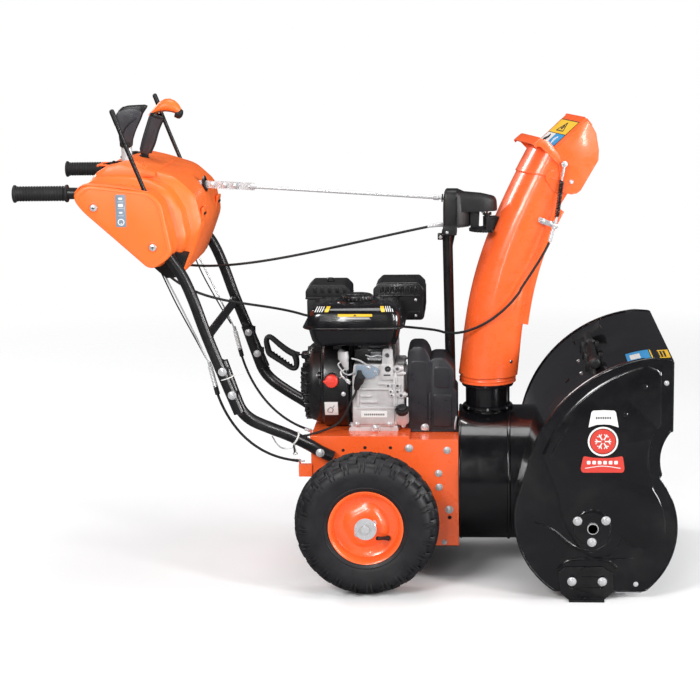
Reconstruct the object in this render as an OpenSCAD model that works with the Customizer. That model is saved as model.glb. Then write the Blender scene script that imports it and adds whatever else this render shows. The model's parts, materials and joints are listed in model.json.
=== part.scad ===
// Two stage snowblower: auger housing and impeller drum at the front, a
// rotating discharge chute above the drum, a two wheel tractor with a
// petrol engine behind it, and a control console on two handle tubes.
// +X is forwards, +Y is the machine's left, +Z is up. The origin is on the
// ground, midway between the wheels and midway from the hand grips' ends to
// the front of the housing. Sizes in the modules are taken at the wheel
// axle, and placed() moves each part from there to the origin.

/* [Wheels] */
// Outside diameter of each tyre
tyre_d = 330; // [318:1:332]
// Width of each tyre
tyre_w = 104; // [90:1:106]
// Distance between the middle planes of the tyres
track = 538; // [532:1:560]
// Diameter of the wheel axle
axle_d = 19; // [16:0.5:20]

/* [Auger housing] */
// Outside width of the auger housing
housing_w = 620; // [600:1:640]
// Thickness of the housing sheet
sheet = 3; // [2:0.5:3.5]
// Outside diameter of the auger ribbons
auger_d = 276; // [260:1:278]
// Width of one auger ribbon across its flat
ribbon_w = 30; // [20:1:34]
// Turns of each ribbon from end to end
ribbon_turns = 1.1; // [0.8:0.1:1.3]
// Outside diameter of the impeller drum
drum_d = 318; // [312:1:320]
// Diameter of the impeller
impeller_d = 300; // [280:1:304]
// Number of impeller blades
blades = 4; // [3:1:6]

/* [Chute] */
// Half width of the chute channel
chute_half_w = 66; // [60:1:67]
// Angle that the chute is turned away from straight ahead at rest
chute_yaw = 17; // [-30:1:30]

/* [Tractor] */
// Width of the tractor box
box_w = 300; // [290:1:304]
// Height of the engine deck above the ground
deck_z = 338; // [334:1:340]
// Height of the engine crankshaft
crank_z = 437; // [433:1:440]

/* [Handles] */
// Diameter of the handle tubes
tube_d = 26; // [22:1:28]
// Distance between the upper handle tubes, centre to centre
tube_spacing = 513; // [508:1:516]
// Distance between the hand grips, centre to centre
grip_spacing = 550; // [544:1:554]
// Length of a hand grip
grip_l = 124; // [110:1:126]
// Diameter of a clutch lever rod
lever_d = 9.5; // [8:0.5:10]

/* [Hidden] */
$fn = 48;

// Radial clearance of a shaft in its bearing
run = 0.05;

tyre_r = tyre_d / 2;
axle_z = tyre_r;
axle_r = axle_d / 2;
bead_r = 78;
dish_y = 42;
hub_r = 17;
hub_end = 54;

housing_half = housing_w / 2;
auger_x = 508;
auger_z = 167;
auger_shaft_r = 12.5;
rake_tube_r = 17;
rake_inner_y = 46;
rake_outer_y = housing_half - 14;
drum_r = drum_d / 2;
drum_z = auger_z + 50;
drum_back_x = 207;
shaft_r = 10;

chute_x = 275;
ring_r = 67;
ring_z = 438;
outlet_r = 52;
chute_rear = [[209, 456], [232, 620], [230, 718], [386, 990]];
chute_front = [[343, 456], [356, 562], [355, 730], [476, 888]];
chute_steps = 12;
hinge = [455, 910];
lock_ring_z = 796;
crown_z = 836;
crown_r = 9;
sector_r = 3 * crown_r;
rod_slope = 3.9;

box_half = box_w / 2;
box_rear = -135;
box_front = 207;
box_mid = 94;
box_bottom = 76;
front_deck_z = deck_z - 8;
hex_x = 19.7;
hex_z = 225;
disc_face_x = 60;
friction_r = disc_face_x - hex_x - 0.3;
gear_module = 3.16;
engine_pulley_x = 148;
drive_pulley_x = 108;
drive_pulley_r = 32;
disc_pulley_r = 52;
belt_half = 5;
belt_gap = 0.4;
engine_pulley_r = 36;
impeller_pulley_r = 70;

tube_r = tube_d / 2;
tube_y = tube_spacing / 2;
grip_y = grip_spacing / 2;
grip_z = 922.5;
grip_end_x = -775;
lever_y = 279;
front_x = 508 + 186 * cos(1);
origin_shift = -(grip_end_x + front_x) / 2;
lever_pivot = [-468, 895];
lever_lean = 20.6;
lever_l = 222;
gear_lever_y = -140;
gear_pivot = [-542, 880];
console_half = 295;

orange = [0.93, 0.30, 0.09];
orange_plastic = [0.96, 0.42, 0.12];
gloss_black = [0.05, 0.05, 0.06];
dark_plastic = [0.16, 0.16, 0.17];
bare_steel = [0.72, 0.73, 0.75];
cast_metal = [0.75, 0.74, 0.74];
rubber_black = [0.08, 0.08, 0.08];

// ---- point helpers ----

function rev(v) = [for (i = [len(v) - 1:-1:0]) v[i]];
function unit(v) = v / norm(v);
function arc(c, r, a0, a1, n = 16) =
    [for (i = [0:n]) let (a = a0 + (a1 - a0) * i / n) c + r * [cos(a), sin(a)]];
function bezier(p, t) =
    let (s = 1 - t)
    s * s * s * p[0] + 3 * s * s * t * p[1] + 3 * s * t * t * p[2] + t * t * t * p[3];

// Tangent of a path at one of its points
function tangent(p, i) = unit(p[min(i + 1, len(p) - 1)] - p[max(i - 1, 0)]);

// A flat path moved sideways, to the left of its direction
function beside(p, d) =
    [for (i = [0:len(p) - 1]) let (t = tangent(p, i)) p[i] + d * [-t[1], t[0]]];

// Closed outline of a strip of sheet that follows a flat path
function strip(p, t) = concat(p, rev(beside(p, t)));

// A closed outline scaled about its own middle so that it shrinks by d
function shrink(p, d) =
    let (n = len(p))
    [for (i = [0:n - 1])
        let (t = unit(p[(i + 1) % n] - p[(i + n - 1) % n])) p[i] + d * [t[1], -t[0]]];

// ---- solid helpers ----

// Flat outline in X and Z, extruded from y0 to y1
module slab(points, y0, y1)
    translate([0, y1, 0]) rotate([90, 0, 0]) linear_extrude(y1 - y0) polygon(points);

// Flat outline in Y and Z, extruded from x0 to x1
module plate_x(points, x0, x1)
    translate([x0, 0, 0]) rotate([90, 0, 90]) linear_extrude(x1 - x0) polygon(points);

module bar_x(x0, x1, r)
    translate([x0, 0, 0]) rotate([0, 90, 0]) cylinder(h = x1 - x0, r = r);

module bar_y(y0, y1, r)
    translate([0, y0, 0]) rotate([-90, 0, 0]) cylinder(h = y1 - y0, r = r);

module box(a, b) translate(a) cube(b - a);

// Round bar between two points
module bar(a, b, r) {
    d = b - a;
    translate(a)
        rotate([0, acos(d[2] / norm(d)), atan2(d[1], d[0])])
            cylinder(h = norm(d), r = r);
}

// Skin between closed rings that all have the same number of points
module loft(rings) {
    n = len(rings[0]);
    m = len(rings);
    sides = [for (k = [0:m - 2], i = [0:n - 1])
        let (a = k * n + i, b = k * n + (i + 1) % n) each [[a, b, b + n], [a, b + n, a + n]]];
    ends = [[for (i = [n - 1:-1:0]) i], [for (i = [0:n - 1]) (m - 1) * n + i]];
    polyhedron(points = [for (r = rings) each r], faces = concat(sides, ends));
}

// Round hose or bent tube along a path of points in space
module hose(path, r, n = 12) {
    rings = [for (i = [0:len(path) - 1])
        let (t = tangent(path, i), u = unit(cross(t, [0.05, 1, 0.02])), w = cross(t, u))
        [for (k = [0:n - 1]) path[i] + r * (cos(360 * k / n) * w + sin(360 * k / n) * u)]];
    loft(rings);
}

// Moves a part from sizes taken at the wheel axle to the row's origin
module placed() translate([origin_shift, 0, 0]) children();

// ---- tractor box ----

function box_side() = [
    [box_rear, 150], [box_rear + 40, box_bottom], [box_front, box_bottom],
    [box_front, front_deck_z], [box_mid, front_deck_z], [box_mid, deck_z],
    [box_rear, deck_z]
];

module chassis() color(orange) placed() difference() {
    union() {
        for (s = [-1, 1])
            slab(box_side(), s * box_half - (s + 1) / 2 * sheet, s * box_half - (s - 1) / 2 * sheet);
        box([box_rear, -box_half, deck_z - sheet], [box_mid, box_half, deck_z]);
        box([box_mid, -box_half, front_deck_z - sheet], [box_front, box_half, front_deck_z]);
        box([box_mid - sheet, -box_half, box_bottom], [box_mid, box_half, deck_z - 1]);
        box([box_front - sheet, -box_half, box_bottom], [box_front, box_half, front_deck_z]);
        box([box_rear, -box_half, 150], [box_rear + sheet, box_half, deck_z]);
        for (s = [-1, 1]) {
            translate([0, 0, axle_z]) bar_y(s * box_half - 8, s * box_half + 8, 18);
            translate([hex_x, 0, hex_z]) bar_y(s * (box_half - 5) - 5, s * (box_half - 5) + 5, 13);
            box([box_rear - 29, s * 147 - 9, 243], [box_rear + 2, s * 147 + 3, 272]);
        }
    }
    translate([0, 0, axle_z]) bar_y(-box_half - 20, box_half + 20, axle_r + run);
    translate([hex_x, 0, hex_z]) bar_y(-box_half - 20, box_half + 20, 8 + run);
    translate([0, 0, drum_z]) bar_x(box_mid - 6, box_mid + 3, 8 + run);
    translate([0, 0, drum_z]) bar_x(box_front - 10, box_front + 10, shaft_r + 4);
    box([box_mid + 4, -58, front_deck_z - 10], [box_front - 17, 46, front_deck_z + 10]);
    box([box_mid + 4, 40, front_deck_z - 10], [165, 57, front_deck_z + 10]);
    box([box_rear - 1, -100, 240], [box_rear + 10, 100, 300]);
}

module bottom_plate() color(gloss_black) placed()
    box([box_rear + 45, -box_half + 4, box_bottom - sheet], [box_front - 1, box_half - 4, box_bottom]);

// ---- handles ----

// Points of the lower handle given as X, Z and distance from the middle
lower_points = [[-326, 532, 228], [-300, 455, 228], [-285, 418, 226], [-262, 393, 218],
                [-225, 371, 200], [-180, 348, 182], [-140, 324, 168], [-111, 306, 165],
                [-82, 292, 165]];
lower_path = [for (p = lower_points) [p[0], p[2], p[1]]];
function upper_path() = concat(
    [for (p = [[-286, 419], [-325, 518], [-358, 605], [-382, 676], [-404, 729], [-427, 765],
               [-455, 806], [-490, 845], [-525, 878], [-562, 903]]) [p[0], tube_y, p[1]]],
    [[-600, (tube_y + grip_y) / 2, 916], [-641, grip_y, grip_z], [grip_end_x + 4, grip_y, grip_z]]);

function flip_y(path) = [for (p = path) [p[0], -p[1], p[2]]];

module lower_handle_right() color(gloss_black) placed() hose(flip_y(lower_path), 14, 20);
module lower_handle_left() color(gloss_black) placed() hose(lower_path, 14, 20);
module upper_handle_right() color(gloss_black) placed() hose(flip_y(upper_path()), tube_r, 20);
module upper_handle_left() color(gloss_black) placed() hose(upper_path(), tube_r, 20);

module handle_crossbar() color(gloss_black) placed()
    translate([-343 - 13, 0, 597 - 6]) bar_y(-tube_y + tube_r + 0.5, tube_y - tube_r - 0.5, 10);

module grip(s) color(rubber_black) placed() translate([0, s * grip_y, grip_z]) difference() {
    union() {
        bar_x(grip_end_x, grip_end_x + grip_l, 17);
        bar_x(grip_end_x, grip_end_x + 5, 20);
        bar_x(grip_end_x + grip_l - 5, grip_end_x + grip_l, 20);
    }
    bar_x(grip_end_x + 3.5, grip_end_x + grip_l + 1, tube_r + 0.1);
}
module grip_right() grip(-1);
module grip_left() grip(1);

module frame_bolts() color(bare_steel) placed() {
    for (s = [-1, 1], p = [[-320, 516], [-300, 462]]) translate([p[0], 0, p[1]])
        bar_y(s * (tube_y + tube_r + 4) - 4, s * (tube_y + tube_r + 4) + 3, 8);
    for (s = [-1, 1], p = [[93, 300], [161, 250], [162, 217], [181, 305]])
        translate([p[0], 0, p[1]]) bar_y(s * (box_half + 2.5) - 2.5, s * (box_half + 2.5) + 2.5, 7);
    for (s = [-1, 1], p = [[620, 489], [578, 427], [605, 40]])
        translate([p[0], 0, p[1]])
            bar_y(s * (housing_half + 2) - 2, s * (housing_half + 2) + 2, 7);
    for (s = [-1, 1], x = skid_bolts) translate([x, 0, skid_bolt_z]) {
        bar_y(s * (housing_half + 4) - 4, s * (housing_half + 4) + 4, 4);
        bar_y(s * (housing_half + 7.5) - 2.5, s * (housing_half + 7.5) + 2.5, 8);
    }
    for (s = [-1, 1]) translate([-111, 0, 306])
        bar_y(s * 182.6 - 2.8, s * 182.6 + 2.8, 7);
}

// ---- console ----

// Side panel outline, then the fuller outline of the middle
side_outline = [
    [-638, 921], [-613, 943], [-560, 937], [-510, 931], [-464, 925], [-440, 900], [-431, 850],
    [-420, 790], [-434, 773], [-463, 755], [-478, 757], [-545, 817], [-617, 882], [-634, 904]
];
mid_outline = [
    [-630, 925], [-612, 956], [-580, 974], [-545, 978], [-500, 968], [-430, 946], [-385, 905],
    [-371, 835], [-393, 776], [-418, 722], [-440, 718], [-478, 757], [-560, 832], [-622, 890]
];
function console_section(y, mix, d) =
    let (p = shrink([for (i = [0:13]) side_outline[i] * (1 - mix) + mid_outline[i] * mix], d))
    [for (q = p) [q[0], y, q[1]]];
function console_rings(d) = [for (s = [
        [-console_half, 0, 6], [-288, 0, 0], [-262, 0, 0], [-240, 0.4, 0], [-195, 1, 0],
        [195, 1, 0], [240, 0.4, 0], [262, 0, 0], [288, 0, 0], [console_half, 0, 6]])
    console_section(s[0] * (1 - d / console_half), s[1], s[2] + d)];

module console() color(orange_plastic) placed() difference() {
    loft(rev(console_rings(0)));
    loft(rev(console_rings(3)));
    slab([[-606, 862], [-478, 742], [-440, 700], [-410, 700], [-415, 735], [-470, 770]], -235, 235);
    for (s = [-1, 1]) {
        hose(s < 0 ? flip_y(upper_path()) : upper_path(), tube_r + 2, 16);
        box([-660, s * lever_y - 8, 912], [-450, s * lever_y + 8, 1000]);
    }
    box([-590, gear_lever_y - 6, 950], [-494, gear_lever_y + 6, 1000]);
    box([-560, -75, 930], [-460, 75, 1000]);
    translate([-390, 0, 911]) bar_x(-20, 40, 12);
}

// ---- engine ----

function fan_outline(r) = concat(
    arc([0, crank_z], r, 225, -45, 36),
    [[r * 0.62, deck_z + 12], [r * 0.45, deck_z + 1], [-r * 0.45, deck_z + 1], [-r * 0.62, deck_z + 12]]);

module engine_block() color(cast_metal) placed() difference() {
    union() {
        box([-40, -96, deck_z], [66, 96, deck_z + 14]);
        box([-38, -104, deck_z + 12], [60, 58, 498]);
        box([60, -98, deck_z + 18], [80, 54, 486]);
        bar_y_block();
        translate(dip_base) rotate([dip_lean, 0, 0]) cylinder(h = 24, r = 15);
        translate([0, 0, crank_z]) bar_x(78, 86, 40);
        box([-30, -90, 496], [50, 24, 547.5]);
    }
    translate([0, 0, crank_z]) bar_x(-60, 100, 12 + run);
    translate(dip_base) rotate([dip_lean, 0, 0]) translate([0, 0, 24]) cylinder(h = 40, r = 16);
    box([-32, -98, deck_z + 20], [54, 52, 490]);
}

// Cylinder barrel and head, leaning towards the machine's left
module bar_y_block() translate([10, 0, crank_z]) rotate([25, 0, 0]) {
    box([-38, 40, -38], [38, 120, 38]);
    for (i = [0:7]) box([-50, 124 + 0 * i, -44 + i * 12], [50, 196, -38 + i * 12]);
    box([-40, 118, -40], [40, 190, 40]);
    box([-34, 190, -34], [34, 206, 34]);
}

module fan_housing() color(gloss_black) placed() difference() {
    union() {
        plate_x(fan_outline(110), -112, -48);
        box([-100, 70, 400], [-44, 150, 528]);
    }
    translate([0, 0, crank_z]) bar_x(-109, -40, 98);
    box([-97, 60, 403], [-40, 147, 525]);
}

module recoil_cover() color(gloss_black) placed() difference() {
    translate([-112, 0, crank_z]) rotate([0, -90, 0]) rotate_extrude($fn = 72)
        polygon([[0, 0], [96, 0], [96, 24], [88, 36], [62, 44], [40, 54], [0, 56]]);
    translate([-112, 0, crank_z]) rotate([0, -90, 0]) rotate_extrude($fn = 72)
        polygon([[0, -1], [93, -1], [93, 23], [86, 33], [60, 41], [38, 51], [0, 53]]);
    bar([-120, 0, 497], [-185, 0, 504], 5);
}

// Corners of a rectangle rounded to radius r
function rounded(a, b, r) = concat(
    arc([b[0] - r, b[1] - r], r, 0, 90, 6), arc([a[0] + r, b[1] - r], r, 90, 180, 6),
    arc([a[0] + r, a[1] + r], r, 180, 270, 6), arc([b[0] - r, a[1] + r], r, 270, 360, 6));

// Block between two corners, rounded along eight of its edges
module soft_box(a, b, r) intersection() {
    slab(rounded([a[0], a[2]], [b[0], b[2]], r), a[1], b[1]);
    translate([0, 0, a[2] - 1]) linear_extrude(b[2] - a[2] + 2) polygon(rounded(a, b, r));
}

tank_seam_z = 592;
module fuel_tank() color(gloss_black) placed() difference() {
    union() {
        soft_box([-138, -148, 548], [76, 32, 612], 18);
        soft_box([-146, -152, 586], [80, 36, 642], 20);
        box([-150, -156, tank_seam_z - 3], [84, 40, tank_seam_z + 2]);
    }
    translate([-28, -52, 625]) cylinder(h = 30, r = 30);
    soft_box([-134, -144, 552], [72, 28, 620], 15);
    soft_box([-142, -148, 600], [76, 32, 638], 17);
}

module air_filter() color(gloss_black) placed() {
    soft_box([-160, 58, 566], [-52, 170, 660], 14);
    translate([-104, 114, 655]) cylinder(h = 14, r = 8);
}

module muffler() color(gloss_black) placed() difference() {
    union() {
        soft_box([2, 62, 572], [124, 190, 664], 12);
        for (i = [0:6]) box([20 + i * 13, 58, 590], [26 + i * 13, 66, 648]);
    }
    soft_box([5, 69, 575], [121, 187, 661], 10);
    translate([100, 0, 600]) bar_y(180, 200, 9);
}

cover_outline = [
    [95, front_deck_z + 0.5], [95, deck_z + 0.5], [88, deck_z + 0.5], [88, 522], [98, 533],
    [124, 533], [134, 524], [142, 510], [178, 507],
    [198, 484], [198, 432], [205, 426], [205, front_deck_z + 0.5]
];
module belt_cover() color(dark_plastic) placed() difference() {
    union() {
        slab(cover_outline, -72, 44);
        box([95, 40, front_deck_z + 0.5], [165, 60, 440]);
    }
    slab(shrink(cover_outline, sheet), -72 + sheet, 44 - sheet);
    box([98, -72 + sheet, front_deck_z - 5], [202, 44 - sheet, deck_z + 5]);
    box([98, 30, front_deck_z - 5], [162, 60 - sheet, 437]);
    translate([0, 0, crank_z]) bar_x(80, 96, 42);
}

// ---- chute mounting post ----

module control_post() color(gloss_black) placed() {
    bar([188, 60, front_deck_z + 0.3], [181, 60, 792], 12);
    box([168, 38.5, 783], [198, 76, 788.5]);
    slab([[170, 784], [198, 784], [190, 745], [176, 745]], 72, 75);
}

rod_front = [263, 0, 867];
function rod_point(x) = [x, 0, rod_front[2] + (rod_front[0] - x) * tan(rod_slope)];

cover_plan = [[172, -38], [208, -38], [226, -22], [237, -8], [237, 8], [226, 22], [208, 38], [172, 38]];
nose_plan = concat([[200, -29.5], [271, -29.5]], arc([chute_x, 0], 24, -40, 40, 8), [[271, 29.5], [200, 29.5]]);

module gear_cover() color(dark_plastic) placed() {
    difference() {
        union() {
            translate([0, 0, lock_ring_z + 10]) linear_extrude(88) polygon(cover_plan);
            translate([0, 0, 843]) linear_extrude(45) polygon(nose_plan);
            box([172, -38, 789], [205, 38, 808]);
        }
        translate([0, 0, lock_ring_z + 5]) linear_extrude(90) polygon(shrink(rev(cover_plan), 2.5));
        translate([0, 0, 840]) linear_extrude(45.5) polygon(shrink(rev(nose_plan), 2.5));
        box([174.5, -35.5, 788], [202.5, 35.5, 810]);
        box([228, -40, 760], [330, 40, 842]);
        bar(rod_point(160), rod_point(190), 4 + run);
    }
    translate([chute_x, 0, lock_ring_z + 1]) cylinder(h = 90, r = 3);
}

// ---- auger housing ----

housing_back = concat(
    arc([535, 186], 200, 236, 174, 14), [[338, 222]],
    arc([674, 235], 319, 163.8, 96, 22), [[681, 549]]);
housing_front = concat([[681, 388]], arc([757, 322], 104, 140, 199, 8), arc([508, 165], 186, 39, -51, 18));
function housing_side() = concat(housing_back, housing_front, [[600, 20]]);
wrap_path = concat([[600, 20]], housing_back);

module auger_housing() color(gloss_black) placed() difference() {
    union() {
        for (s = [-1, 1])
            slab(housing_side(), s * housing_half - (s + 1) / 2 * sheet,
                 s * housing_half - (s - 1) / 2 * sheet);
        slab(strip(wrap_path, -sheet), -housing_half + 1, housing_half - 1);
        difference() {
            translate([0, 0, drum_z]) bar_x(drum_back_x, 420, drum_r);
            slab(housing_side(), -housing_half, housing_half);
            translate([0, 0, drum_z]) bar_x(drum_back_x + sheet, 430, drum_r - sheet);
        }
        translate([0, 0, drum_z]) bar_x(drum_back_x, drum_back_x + 14, 24);
        translate([chute_x, 0, drum_z + 120]) cylinder(h = ring_z - drum_z - 121, r = outlet_r);
        translate([chute_x, 0, ring_z - 6]) cylinder(h = 5, r = outlet_r + 8);
        for (y = [-180, -40]) clip_bracket(y);
    }
    translate([0, 0, drum_z]) bar_x(drum_back_x + 14, 430, drum_r - sheet);
    translate([chute_x, 0, drum_z + 100]) cylinder(h = 200, r = outlet_r - sheet);
    translate([0, 0, drum_z]) bar_x(drum_back_x - 5, drum_back_x + 30, shaft_r + run);
    translate([auger_x, 0, auger_z]) bar_y(-housing_half - 5, housing_half + 5, 24);
}

tool_x = 514;
tool_z = 529;
module clip_bracket(y) difference() {
    box([tool_x - 17, y - 8, 504], [tool_x + 17, y + 8, tool_z + 4]);
    translate([tool_x, 0, tool_z]) bar_y(y - 9, y + 9, 11);
    box([tool_x - 10.4, y - 9, tool_z], [tool_x + 10.4, y + 9, tool_z + 10]);
    slab(housing_side(), y - 9, y + 9);
}

module scraper_bar() color(bare_steel) placed()
    box([560, -housing_half + 4, 14], [618, housing_half - 4, 20]);

module auger_bearings() color(gloss_black) placed() for (s = [-1, 1])
    translate([auger_x, 0, auger_z]) difference() {
        union() {
            bar_y(s * (housing_half + 3) - 3, s * (housing_half + 3) + 3, 42);
            bar_y(s * (housing_half + 1) - 9, s * (housing_half + 1) + 9, 23.5);
        }
        bar_y(s * housing_half - 20, s * housing_half + 20, auger_shaft_r + run);
    }

// ---- auger gearbox ----

worm_pitch = 21.4;
worm_teeth = 10;

module gearbox_case() color(cast_metal) placed() difference() {
    union() {
        translate([auger_x, 0, auger_z]) bar_y(-34, 34, 48);
        translate([0, 0, drum_z]) bar_x(auger_x - 70, auger_x + 42, 26);
        translate([auger_x, 0, auger_z]) bar_y(-42, 42, 24);
    }
    translate([auger_x, 0, auger_z]) bar_y(-28, 28, 41);
    translate([0, 0, drum_z]) bar_x(auger_x - 42, auger_x + 36, 20);
    translate([0, 0, drum_z]) bar_x(auger_x - 90, auger_x, shaft_r + run);
    translate([auger_x, 0, auger_z]) bar_y(-50, 50, auger_shaft_r + run);
}

// Grooved belt pulley about the X axis
module pulley(x, r) difference() {
    bar_x(x - 9, x + 9, r);
    rotate([0, 90, 0]) rotate_extrude($fn = 72) polygon([
        [r - 14, x - belt_half + 0.5], [r + 1, x - belt_half - 2.5],
        [r + 1, x + belt_half + 2.5], [r - 14, x + belt_half - 0.5]]);
}

module impeller_shaft() color(bare_steel) placed() translate([0, 0, drum_z]) {
    bar_x(engine_pulley_x - 20, auger_x - 44, shaft_r);
    bar_x(auger_x - 44, auger_x + 30, 7);
    translate([auger_x - 32, 0, 0]) rotate([0, 90, 0])
        linear_extrude(3 * worm_pitch, twist = 3 * 360, slices = 60)
            translate([5, 0]) circle(r = 12, $fn = 16);
    pulley(engine_pulley_x, impeller_pulley_r);
}

module impeller() color(gloss_black) placed() translate([0, 0, drum_z]) difference() {
    union() {
        bar_x(228, 318, 20);
        for (i = [0:blades - 1]) rotate([360 / blades * i, 0, 0]) {
            box([232, -2, 15], [314, 2, impeller_d / 2]);
            box([232, -2, impeller_d / 2 - 24], [314, 16, impeller_d / 2 - 20]);
        }
        bar_x(228, 232, 90);
    }
    bar_x(200, 330, shaft_r);
}

// ---- augers ----

// One helical ribbon about the Y axis, from y0 to y1
module ribbon(y0, y1, turns, phase) {
    steps = 44;
    r1 = auger_d / 2;
    r0 = r1 - ribbon_w;
    rings = [for (i = [0:steps])
        let (a = phase + 360 * turns * i / steps, y = y0 + (y1 - y0) * i / steps, h = 2)
        [for (q = [[r0, -h], [r1, -h], [r1, h], [r0, h]]) [q[0] * cos(a), y + q[1], q[0] * sin(a)]]];
    loft(rev(rings));
}

module auger_half(s) color(gloss_black) placed() translate([auger_x, 0, auger_z]) difference() {
    union() {
        bar_y(min(s * rake_inner_y, s * rake_outer_y), max(s * rake_inner_y, s * rake_outer_y), rake_tube_r);
        for (phase = [0, 180]) {
            ribbon(s * (rake_inner_y + 6), s * (rake_outer_y - 6), ribbon_turns, phase);
            for (f = [0, 0.5, 1]) let (y = s * (rake_inner_y + 6 + f * (rake_outer_y - rake_inner_y - 12)))
                translate([0, y, 0]) rotate([0, -(phase + 360 * ribbon_turns * f), 0])
                    bar_x(14, auger_d / 2 - ribbon_w + 6, 5);
        }
    }
    bar_y(-housing_half, housing_half, auger_shaft_r + 0.02);
}
module auger_right() auger_half(-1);
module auger_left() auger_half(1);

// Flat gear with straight flanks, about Z
module gear(teeth, module_mm, w, bore, slack = 0.6) difference() {
    linear_extrude(w) polygon([for (i = [0:teeth - 1]) let (
        a = 360 / teeth * i, r = teeth * module_mm / 2, p = 90 / teeth, k = slack * 28 / r)
        each [for (q = [[r - 1.2 * module_mm, -p * 1.45], [r - 1.2 * module_mm, -p * 1.4 + k],
                        [r + 0.8 * module_mm, -p * 0.55 + k], [r + 0.8 * module_mm, p * 0.55 - k],
                        [r - 1.2 * module_mm, p * 1.4 - k]])
            q[0] * [cos(a + q[1]), sin(a + q[1])]]]);
    if (bore > 0) translate([0, 0, -1]) cylinder(h = w + 2, r = bore);
}

module auger_shaft() color(bare_steel) placed() translate([auger_x, 0, auger_z]) {
    bar_y(-housing_half - 12, housing_half + 12, auger_shaft_r);
    rotate([90, 0, 0]) translate([0, 0, -6]) linear_extrude(12) polygon([
        for (i = [0:worm_teeth - 1]) let (a = 360 / worm_teeth * i + 90) each [
            for (q = [[27, -11], [27, -10.5], [38.5, -3], [38.5, 3], [27, 10.5]])
                q[0] * [cos(a + q[1]), sin(a + q[1])]]]);
}

// ---- wheels and inner drive ----

module wheel_axle() color(bare_steel) placed() {
    translate([0, 0, axle_z]) bar_y(-track / 2 - hub_end - 4, track / 2 + hub_end + 4, axle_r);
    translate([0, -60, axle_z]) rotate([90, 0, 0])
        rotate([0, 0, atan2(hex_z - axle_z, hex_x)]) gear(30, gear_module, 14, 0);
}

module hex_shaft() color(bare_steel) placed() translate([hex_x, 0, hex_z]) {
    bar_y(-box_half + 1, box_half - 1, 8);
    translate([0, -60, 0]) rotate([90, 0, 0])
        rotate([0, 0, atan2(-(hex_z - axle_z), -hex_x)]) rotate([0, 0, 18]) gear(10, gear_module, 14, 0);
}

module friction_wheel() color(rubber_black) placed() translate([hex_x, 0, hex_z]) difference() {
    union() {
        bar_y(8, 20, friction_r);
        bar_y(-4, 32, 16);
    }
    bar_y(-20, 50, 8 + run);
}

module drive_disc() color(bare_steel) placed() translate([0, 0, drum_z]) {
    bar_x(disc_face_x, disc_face_x + 6, 66);
    bar_x(disc_face_x + 6, drive_pulley_x, 8);
    pulley(drive_pulley_x, disc_pulley_r);
}

module crankshaft() color(bare_steel) placed() translate([0, 0, crank_z]) {
    bar_x(-105, engine_pulley_x + 12, 12);
    bar_x(-100, -88, 88);
    pulley(engine_pulley_x, engine_pulley_r);
    pulley(drive_pulley_x, drive_pulley_r);
}

// Belt loop round two pulleys, riding just clear of their grooves
function belt_loop(top_r, low_r, d) =
    let (r1 = top_r - 10 + d, r2 = low_r - 10 + d, a = asin((r2 - r1) / (crank_z - drum_z)))
    concat(arc([0, crank_z], r1, a, 180 - a, 24), arc([0, drum_z], r2, 180 - a, 360 + a, 40));

module belt(x, top_r, low_r) difference() {
    plate_x(belt_loop(top_r, low_r, 8), x - belt_half + 1.4, x + belt_half - 1.4);
    plate_x(belt_loop(top_r, low_r, belt_gap), x - belt_half, x + belt_half);
}

module drive_belts() color(rubber_black) placed() {
    belt(engine_pulley_x, engine_pulley_r, impeller_pulley_r);
    belt(drive_pulley_x, drive_pulley_r, disc_pulley_r);
}

module tyre(s) color(rubber_black) placed() translate([0, s * track / 2, axle_z]) rotate([90, 0, 0])
    rotate_extrude($fn = 96) polygon(concat(
        [[bead_r, -tyre_w / 2 + 16], [bead_r + 8, -tyre_w / 2 + 8]],
        arc([tyre_r - 38, -tyre_w / 2 + 30], 30, -90, -20, 6),
        arc([tyre_r - 40, 0], 40, -28, 28, 6),
        arc([tyre_r - 38, tyre_w / 2 - 30], 30, 20, 90, 6),
        [[bead_r + 8, tyre_w / 2 - 8], [bead_r, tyre_w / 2 - 16]]));
module tyre_right() tyre(-1);
module tyre_left() tyre(1);

module rim(s) color(orange) placed() translate([0, s * track / 2, axle_z]) rotate([s < 0 ? 90 : -90, 0, 0])
    difference() {
        union() {
            rotate_extrude($fn = 96) polygon([
                [bead_r - 0.2, -36], [bead_r - 0.2, 36], [84.7, dish_y + 1.2], [84.7, dish_y + 4],
                [bead_r - 3, dish_y - 2], [62, 24], [30, 20], [hub_r - 1, 22],
                [hub_r - 1, 18], [30, 16], [62, 20], [bead_r - 4, 33], [bead_r - 4, -33],
                [bead_r - 3, -dish_y + 2], [84.7, -dish_y - 4], [84.7, -dish_y - 1.2]]);
            translate([0, 0, -40]) cylinder(h = hub_end + 40, r = hub_r);
            translate([0, 0, hub_end - 10]) rotate([90, 0, 35]) cylinder(h = 56, r = 4, center = true);
        }
        translate([0, 0, -60]) cylinder(h = 160, r = axle_r);
    }
module rim_right() rim(-1);
module rim_left() rim(1);

// ---- chute ----

// Closed section of the chute between its rear and front edges
function chute_section(k, inset, extra = 0) =
    let (t = k / chute_steps, a = bezier(chute_rear, t), b = bezier(chute_front, t), m = (a + b) / 2,
         u = unit(b - a), l = norm(b - a) / 2 - inset, w = chute_half_w + 2 + 3 * t - inset, n = 28,
         lift = extra * [-u[1], u[0]])
    [for (i = [0:n - 1])
        let (c = cos(360 * i / n), s = sin(360 * i / n), e = 0.8)
        let (x = l * sign(c) * pow(abs(c), e), y = w * sign(s) * pow(abs(s), e), q = m + u * x + lift)
        [q[0], -y, q[1]]];

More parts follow.
